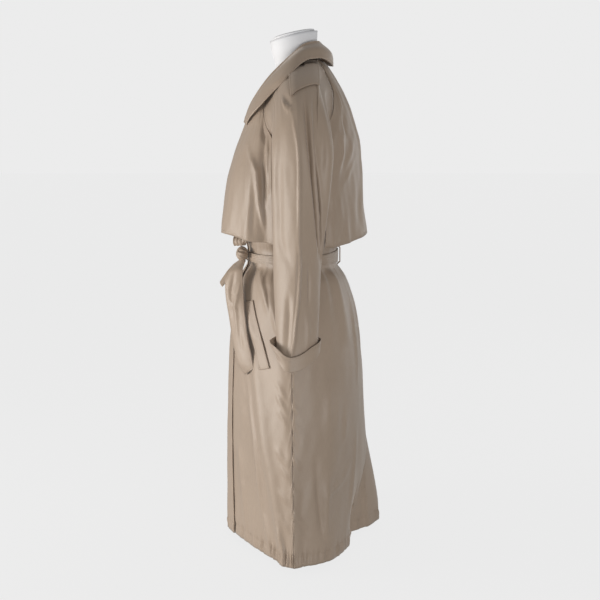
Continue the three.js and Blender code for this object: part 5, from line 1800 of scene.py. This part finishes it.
class NodeGroups:
    """The effects that several finishes share, built once."""

    def __init__(self) -> None:
        """Builds the groups."""
        self.twill = self.build_twill()
        self.mottle = self.build_mottle()

    @staticmethod
    def fresh(name: str, inputs: dict[str, float], outputs: tuple[str, ...]) -> NodePen:
        """A new group with its sockets, and a pen to draw in it.

        Args:
            name: The group's name.
            inputs: Its number inputs and their usual values, besides the vector Place.
            outputs: Its outputs.

        Returns:
            The pen.
        """
        group = bpy.data.node_groups.new(name, "ShaderNodeTree")
        group.interface.new_socket("Place", in_out="INPUT", socket_type="NodeSocketVector")
        for socket, value in inputs.items():
            made = group.interface.new_socket(socket, in_out="INPUT", socket_type="NodeSocketFloat")
            made.default_value = value
        for socket in outputs:
            group.interface.new_socket(socket, in_out="OUTPUT", socket_type="NodeSocketFloat")
        return NodePen(group)

    def build_twill(self) -> bpy.types.NodeTree:
        """Fine slanted ribs of twill with single threads that run thicker and thinner."""
        pen = self.fresh("twill_weave", {"Rib": 700.0, "Thread": 900.0}, ("Height", "Shade"))
        given = pen.node("NodeGroupInput").outputs
        ribs = pen.node(
            "ShaderNodeTexWave",
            {"Vector": given["Place"], "Scale": given["Rib"], "Distortion": 0.5, "Detail": 1.0},
            wave_type="BANDS",
            bands_direction="DIAGONAL",
        )
        drawn_out = pen.node("ShaderNodeMapping", {"Vector": given["Place"], "Scale": (1.0, 0.06, 1.0)})
        threads = pen.node(
            "ShaderNodeTexNoise", {"Vector": drawn_out.outputs[0], "Scale": given["Thread"], "Detail": 1.0}
        ).outputs["Fac"]
        height = pen.weighed((ribs.outputs["Fac"], 0.6), (threads, 0.4))
        pen.node("NodeGroupOutput", {"Height": height, "Shade": threads})
        return pen.tree

    def build_mottle(self) -> bpy.types.NodeTree:
        """Broad uneven tone and small handling crumples, over places of the object."""
        pen = self.fresh("mottle", {"Broad": 6.0, "Fine": 70.0}, ("Tone", "Crumple"))
        given = pen.node("NodeGroupInput").outputs
        masks = {}
        for mask, scale, roughness in (("Tone", "Broad", 0.5), ("Crumple", "Fine", 0.45)):
            values = {"Vector": given["Place"], "Scale": given[scale], "Detail": 3.0, "Roughness": roughness}
            masks[mask] = pen.node("ShaderNodeTexNoise", values).outputs["Fac"]
        pen.node("NodeGroupOutput", masks)
        return pen.tree


@dataclass(frozen=True)
class ClothFinish:
    """The coat's silky twill.

    Attributes:
        name: The material's name.
        light: The colour of its lighter threads.
        dark: The colour of its darker threads.
        roughness: How matt it is.
        sheen: How much it glows at grazing light.
        crumple: The height of its handling crumples in metres.
    """

    name: str
    light: Colour
    dark: Colour
    roughness: float = 0.47
    sheen: float = 0.35
    crumple: float = 0.0009

    def make(self, groups: NodeGroups) -> bpy.types.Material:
        """Builds the material."""
        material, pen, shader = new_material(self.name)
        place = pen.node("ShaderNodeTexCoord").outputs["Object"]
        cloth = pen.node("ShaderNodeUVMap", uv_map="cloth").outputs["UV"]
        twill = pen.node("ShaderNodeGroup", node_tree=groups.twill)
        pen.fill(twill, {"Place": cloth})
        mottle = pen.node("ShaderNodeGroup", node_tree=groups.mottle)
        pen.fill(mottle, {"Place": place, "Broad": 5.0, "Fine": 42.0})
        weave = pen.node(
            "ShaderNodeBump", {"Height": twill.outputs["Height"], "Strength": 0.35, "Distance": 0.00012}
        )
        crumple = pen.node(
            "ShaderNodeBump",
            {
                "Height": mottle.outputs["Crumple"],
                "Normal": weave.outputs["Normal"],
                "Strength": 0.55,
                "Distance": self.crumple,
            },
        )
        mask = pen.weighed((twill.outputs["Shade"], 0.45), (mottle.outputs["Tone"], 0.55))
        values = {
            "Base Color": pen.tones(mask, self.dark, self.light),
            "Roughness": pen.offset(mottle.outputs["Tone"], 0.12, self.roughness - 0.06),
            "Normal": crumple.outputs["Normal"],
            "Sheen Weight": self.sheen,
            "Sheen Roughness": 0.4,
            "Sheen Tint": (1.0, 0.95, 0.88, 1.0),
            "Specular IOR Level": 0.42,
        }
        pen.fill(shader, values)
        return material


@dataclass(frozen=True)
class HardFinish:
    """A hard or covered surface with a little grain.

    Attributes:
        name: The material's name.
        light: Its lighter colour.
        dark: Its darker colour.
        roughness: How matt it is.
        metallic: 1 for bare metal.
        grain: The grain's scale.
        stretch: How the grain is drawn out along X, Y and Z.
        bump: The grain's height in metres.
        coat: A clear coat over it.
    """

    name: str
    light: Colour
    dark: Colour
    roughness: float
    metallic: float = 0.0
    grain: float = 300.0
    stretch: tuple[float, float, float] = (1.0, 1.0, 1.0)
    bump: float = 0.00005
    coat: float = 0.0

    def make(self, groups: NodeGroups) -> bpy.types.Material:
        """Builds the material."""
        material, pen, shader = new_material(self.name)
        place = pen.node("ShaderNodeTexCoord").outputs["Object"]
        drawn_out = pen.node("ShaderNodeMapping", {"Vector": place, "Scale": self.stretch})
        mottle = pen.node("ShaderNodeGroup", node_tree=groups.mottle)
        pen.fill(mottle, {"Place": drawn_out.outputs[0], "Fine": self.grain})
        tone, crumple = mottle.outputs["Tone"], mottle.outputs["Crumple"]
        bump = pen.node("ShaderNodeBump", {"Height": crumple, "Strength": 0.4, "Distance": self.bump})
        values = {
            "Base Color": pen.tones(pen.weighed((tone, 0.5), (crumple, 0.5)), self.dark, self.light),
            "Roughness": pen.offset(crumple, 0.16, self.roughness - 0.08),
            "Normal": bump.outputs["Normal"],
            "Metallic": self.metallic,
            "Coat Weight": self.coat,
        }
        pen.fill(shader, values)
        return material


def new_material(name: str) -> tuple[bpy.types.Material, NodePen, bpy.types.Node]:
    """A new material with a pen to draw in it and its shader."""
    material = bpy.data.materials.new(name)
    material.use_nodes = True
    pen = NodePen(material.node_tree)
    return material, pen, material.node_tree.nodes["Principled BSDF"]


COAT_CLOTH = ClothFinish("coat_twill", light=(0.378, 0.290, 0.219), dark=(0.316, 0.241, 0.180))
STITCH_THREAD = HardFinish(
    "sewing_thread", light=(0.40, 0.315, 0.23), dark=(0.33, 0.255, 0.185), roughness=0.6
)
STRAP_BUTTON = HardFinish(
    "strap_button", light=(0.075, 0.052, 0.036), dark=(0.035, 0.024, 0.017), roughness=0.28,
    grain=160.0, coat=0.4,
)
FORM_COVER = HardFinish(
    "form_cover", light=(0.82, 0.82, 0.83), dark=(0.76, 0.76, 0.775), roughness=0.62, grain=900.0
)
STAND_METAL = HardFinish(
    "stand_metal", light=(0.66, 0.66, 0.67), dark=(0.52, 0.52, 0.53), roughness=0.34, metallic=1.0,
    grain=500.0, stretch=(1.0, 1.0, 0.05),
)


@dataclass(frozen=True)
class SoftLight:
    """A soft box.

    Attributes:
        name: The light's name.
        place: Where it stands, in metres.
        aim: What it points at.
        size: Its side.
        power: Its power in watts.
        colour: Its colour.
    """

    name: str
    place: tuple[float, float, float]
    aim: tuple[float, float, float]
    size: float
    power: float
    colour: Colour = (1.0, 1.0, 1.0)

    def make(self) -> None:
        """Adds the light."""
        data = bpy.data.lights.new(self.name, "AREA")
        data.shape, data.size, data.energy, data.color = "SQUARE", self.size, self.power, self.colour
        lamp = bpy.data.objects.new(self.name, data)
        lamp.location = self.place
        lamp.rotation_euler = (Vector(self.aim) - Vector(self.place)).to_track_quat("-Z", "Y").to_euler()
        bpy.context.scene.collection.objects.link(lamp)


@dataclass
class Studio:
    """The pale floor, the soft light and the camera."""

    lights: tuple[SoftLight, ...] = (
        SoftLight("key", (0.35, -2.35, 0.4), (0.0, -0.05, 0.5), 1.1, 60.0, (1.0, 0.975, 0.94)),
        SoftLight("fill", (2.8, 0.7, 0.35), (0.0, 0.1, 0.2), 1.1, 36.0, (0.98, 0.99, 1.0)),
        SoftLight("rear", (-1.9, 2.6, 1.0), (0.0, 0.1, 0.7), 1.6, 14.0),
    )
    world_strength: float = 0.4
    pale: float = 0.838
    camera_place: tuple[float, float, float] = (2.66, 0.012, 0.97)
    camera_tilt: float = 8.22
    camera_lens: float = 66.5

    def floor(self) -> None:
        """The plain pale floor."""
        work = bmesh.new()
        bmesh.ops.create_grid(work, x_segments=4, y_segments=4, size=30.0)
        bmesh.ops.translate(work, verts=work.verts, vec=(0.0, 0.0, -0.0006))
        plane = finished("studio_floor", work, False)
        material, pen, shader = new_material("studio_floor")
        values = {
            "Base Color": (0.04, 0.04, 0.04, 1.0),
            "Emission Color": (self.pale, self.pale, self.pale, 1.0),
            "Emission Strength": 0.955,
            "Roughness": 0.9,
            "Specular IOR Level": 0.1,
        }
        pen.fill(shader, values)
        plane.data.materials.append(material)
        plane.visible_diffuse = False
        plane.visible_glossy = False

    def world(self) -> None:
        """An even pale surrounding."""
        world = bpy.data.worlds.new("studio")
        world.use_nodes = True
        bpy.context.scene.world = world
        pen = NodePen(world.node_tree)
        colour = (self.pale, self.pale, self.pale, 1.0)
        back = pen.fill(pen.tree.nodes["Background"], {"Color": colour, "Strength": self.world_strength})
        seen = pen.node("ShaderNodeBackground", {"Color": colour})
        by_camera = pen.node("ShaderNodeLightPath").outputs["Is Camera Ray"]
        choice = pen.node("ShaderNodeMixShader", {"Fac": by_camera, 1: back.outputs[0], 2: seen.outputs[0]})
        pen.fill(pen.tree.nodes["World Output"], {"Surface": choice.outputs[0]})

    def camera(self) -> None:
        """The camera at the photograph's viewing angle, level with the chest and looking a little down."""
        data = bpy.data.cameras.new("camera")
        data.lens, data.sensor_width = self.camera_lens, 36.0
        camera = bpy.data.objects.new("camera", data)
        camera.location = self.camera_place
        camera.rotation_euler = (math.radians(90.0 - self.camera_tilt), 0.0, math.radians(90.0))
        bpy.context.scene.collection.objects.link(camera)
        bpy.context.scene.camera = camera

    def build(self) -> None:
        """Builds the studio."""
        self.camera()
        self.world()
        self.floor()
        for light in self.lights:
            light.make()
        bpy.context.scene.view_settings.view_transform = "Standard"


@dataclass(frozen=True)
class Hanging:
    """How a cut piece is held, and what it rests on.

    Attributes:
        held: How it is held.
        rests_on: The pieces that it lies on, named for the wearer's left.
        rows: Its edges with topstitching, and how far in the stitches lie.
    """

    held: Held
    rests_on: tuple[str, ...]
    rows: tuple[tuple[str, float], ...] = ()


def held(how: Held, under: str, *rows: tuple[float, str]) -> Hanging:
    """A hanging from how it is held, what is under it, and its stitch rows.

    Args:
        how: How the cloth is held.
        under: The piece that it lies on.
        rows: How far in the stitches lie, and the edges that have them.

    Returns:
        The hanging.
    """
    edges = tuple((edge, inset) for inset, names in rows for edge in names.split())
    return Hanging(how, (under,), edges)


HANGINGS = {
    "front": held(Held.GATHERED, "form_torso_cover", (26.0, "low")),
    "back": held(Held.GATHERED, "form_torso_cover", (26.0, "low")),
    "sleeve": held(Held.HUNG, "form_torso_cover", (6.0, "low")),
    "cuff": held(Held.FOLDED, "sleeve_left_cloth", (3.0, "high"), (8.0, "high")),
    "front_flap": held(Held.HUNG, "front_left_cloth", (7.0, "low first last")),
    "back_cape": held(Held.HUNG, "back_left_cloth", (7.0, "low first last")),
    "collar": held(Held.FOLDED, "form_torso_cover", (6.0, "high first last")),
    "epaulette": held(Held.LAID, "sleeve_left_cloth", (4.5, "low high first last")),
    "belt_band": held(Held.GATHERED, "front_left_cloth", (3.0, "low high")),
    "belt_end": held(Held.HUNG, "belt_knot_cloth", (4.0, "low first last")),
    "belt_bow": held(Held.FOLDED, "belt_knot_cloth", (3.5, "first last")),
    "belt_loop": held(Held.HUNG, "belt_band_cloth", (2.5, "first last")),
    "pocket_welt": held(Held.LAID, "front_left_cloth", (4.0, "low high first last")),
}


class Coat:
    """Builds every piece of the coat and its form, and logs their faces and flat sizes."""

    def __init__(self) -> None:
        """Makes the finishes."""
        groups = NodeGroups()
        self.cloth = COAT_CLOTH.make(groups)
        self.thread = STITCH_THREAD.make(groups)
        self.button = STRAP_BUTTON.make(groups)
        self.cover = FORM_COVER.make(groups)
        self.metal = STAND_METAL.make(groups)
        self.stitching = Stitching()

    def dress(
        self, piece: bpy.types.Object, material: bpy.types.Material, node: str | None
    ) -> None:
        """Gives a piece its finish and its body, and hides the CAD node that it stands for."""
        piece.data.materials.append(material)
        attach(piece, "root")
        if node is not None:
            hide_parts(node)
        LOG.info("%s: %d faces", piece.name, len(piece.data.polygons))

    @staticmethod
    def hanging(node: str) -> Hanging:
        """How a node's cloth is held."""
        keys = [key for key in HANGINGS if node.startswith(key)]
        return HANGINGS[max(keys, key=len)]

    @staticmethod
    def cut_pieces(sleeves: Sleeves, straps: ShoulderStraps, belt: Belt) -> list[ClothMesh]:
        """All cut pieces of cloth."""
        return [
            *BodyPanels().build(),
            *sleeves.build(),
            *Flaps().build(),
            Collar().build(),
            *straps.build(),
            *belt.build(),
            *PocketWelts().build(),
        ]

    def build(self) -> None:
        """Builds the form, the cloth, the stitches and the buttons."""
        form = DressForm()
        for piece, node, material, slot in (
            (form.torso(), "form_torso", self.cover, "form_cover"),
            (form.neck_cap(), "form_neck_cap", self.cover, "form_cover"),
            (form.pole(), "form_pole", self.metal, "stand_metal"),
            (form.base(), "form_base", self.metal, "stand_metal"),
        ):
            self.dress(piece, material, node)
        sleeves, belt = Sleeves(), Belt()
        straps = ShoulderStraps(sleeves)
        for side in Side:
            self.dress(straps.button(side), self.button, f"epaulette_button_{side.word}")
        self.dress(belt.knot(), self.cloth, "belt_knot")
        made = []
        for mesh in self.cut_pieces(sleeves, straps, belt):
            piece = mesh.make()
            self.dress(piece, self.cloth, mesh.name)
            hanging = self.hanging(mesh.name)
            seams = self.stitching.piece(
                f"{mesh.name}_stitches", [edge_row(mesh, edge, inset) for edge, inset in hanging.rows]
            )
            self.dress(seams, self.thread, None)
            made.append((mesh, piece, seams, hanging))
        for mesh, piece, seams, hanging in made:
            width, length, area = mesh.flat_size()
            side = "_right_cloth" if mesh.name.endswith("right") else "_left_cloth"
            LOG.info("%s: flat %.3f x %.3f m, area %.4f", mesh.name, width, length, area)


def main() -> None:
    """Builds the studio and the coat."""
    logging.basicConfig(level=logging.INFO, format="%(name)s: %(message)s")
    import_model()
    Studio().build()
    Coat().build()


if __name__ == "__main__":
    main()
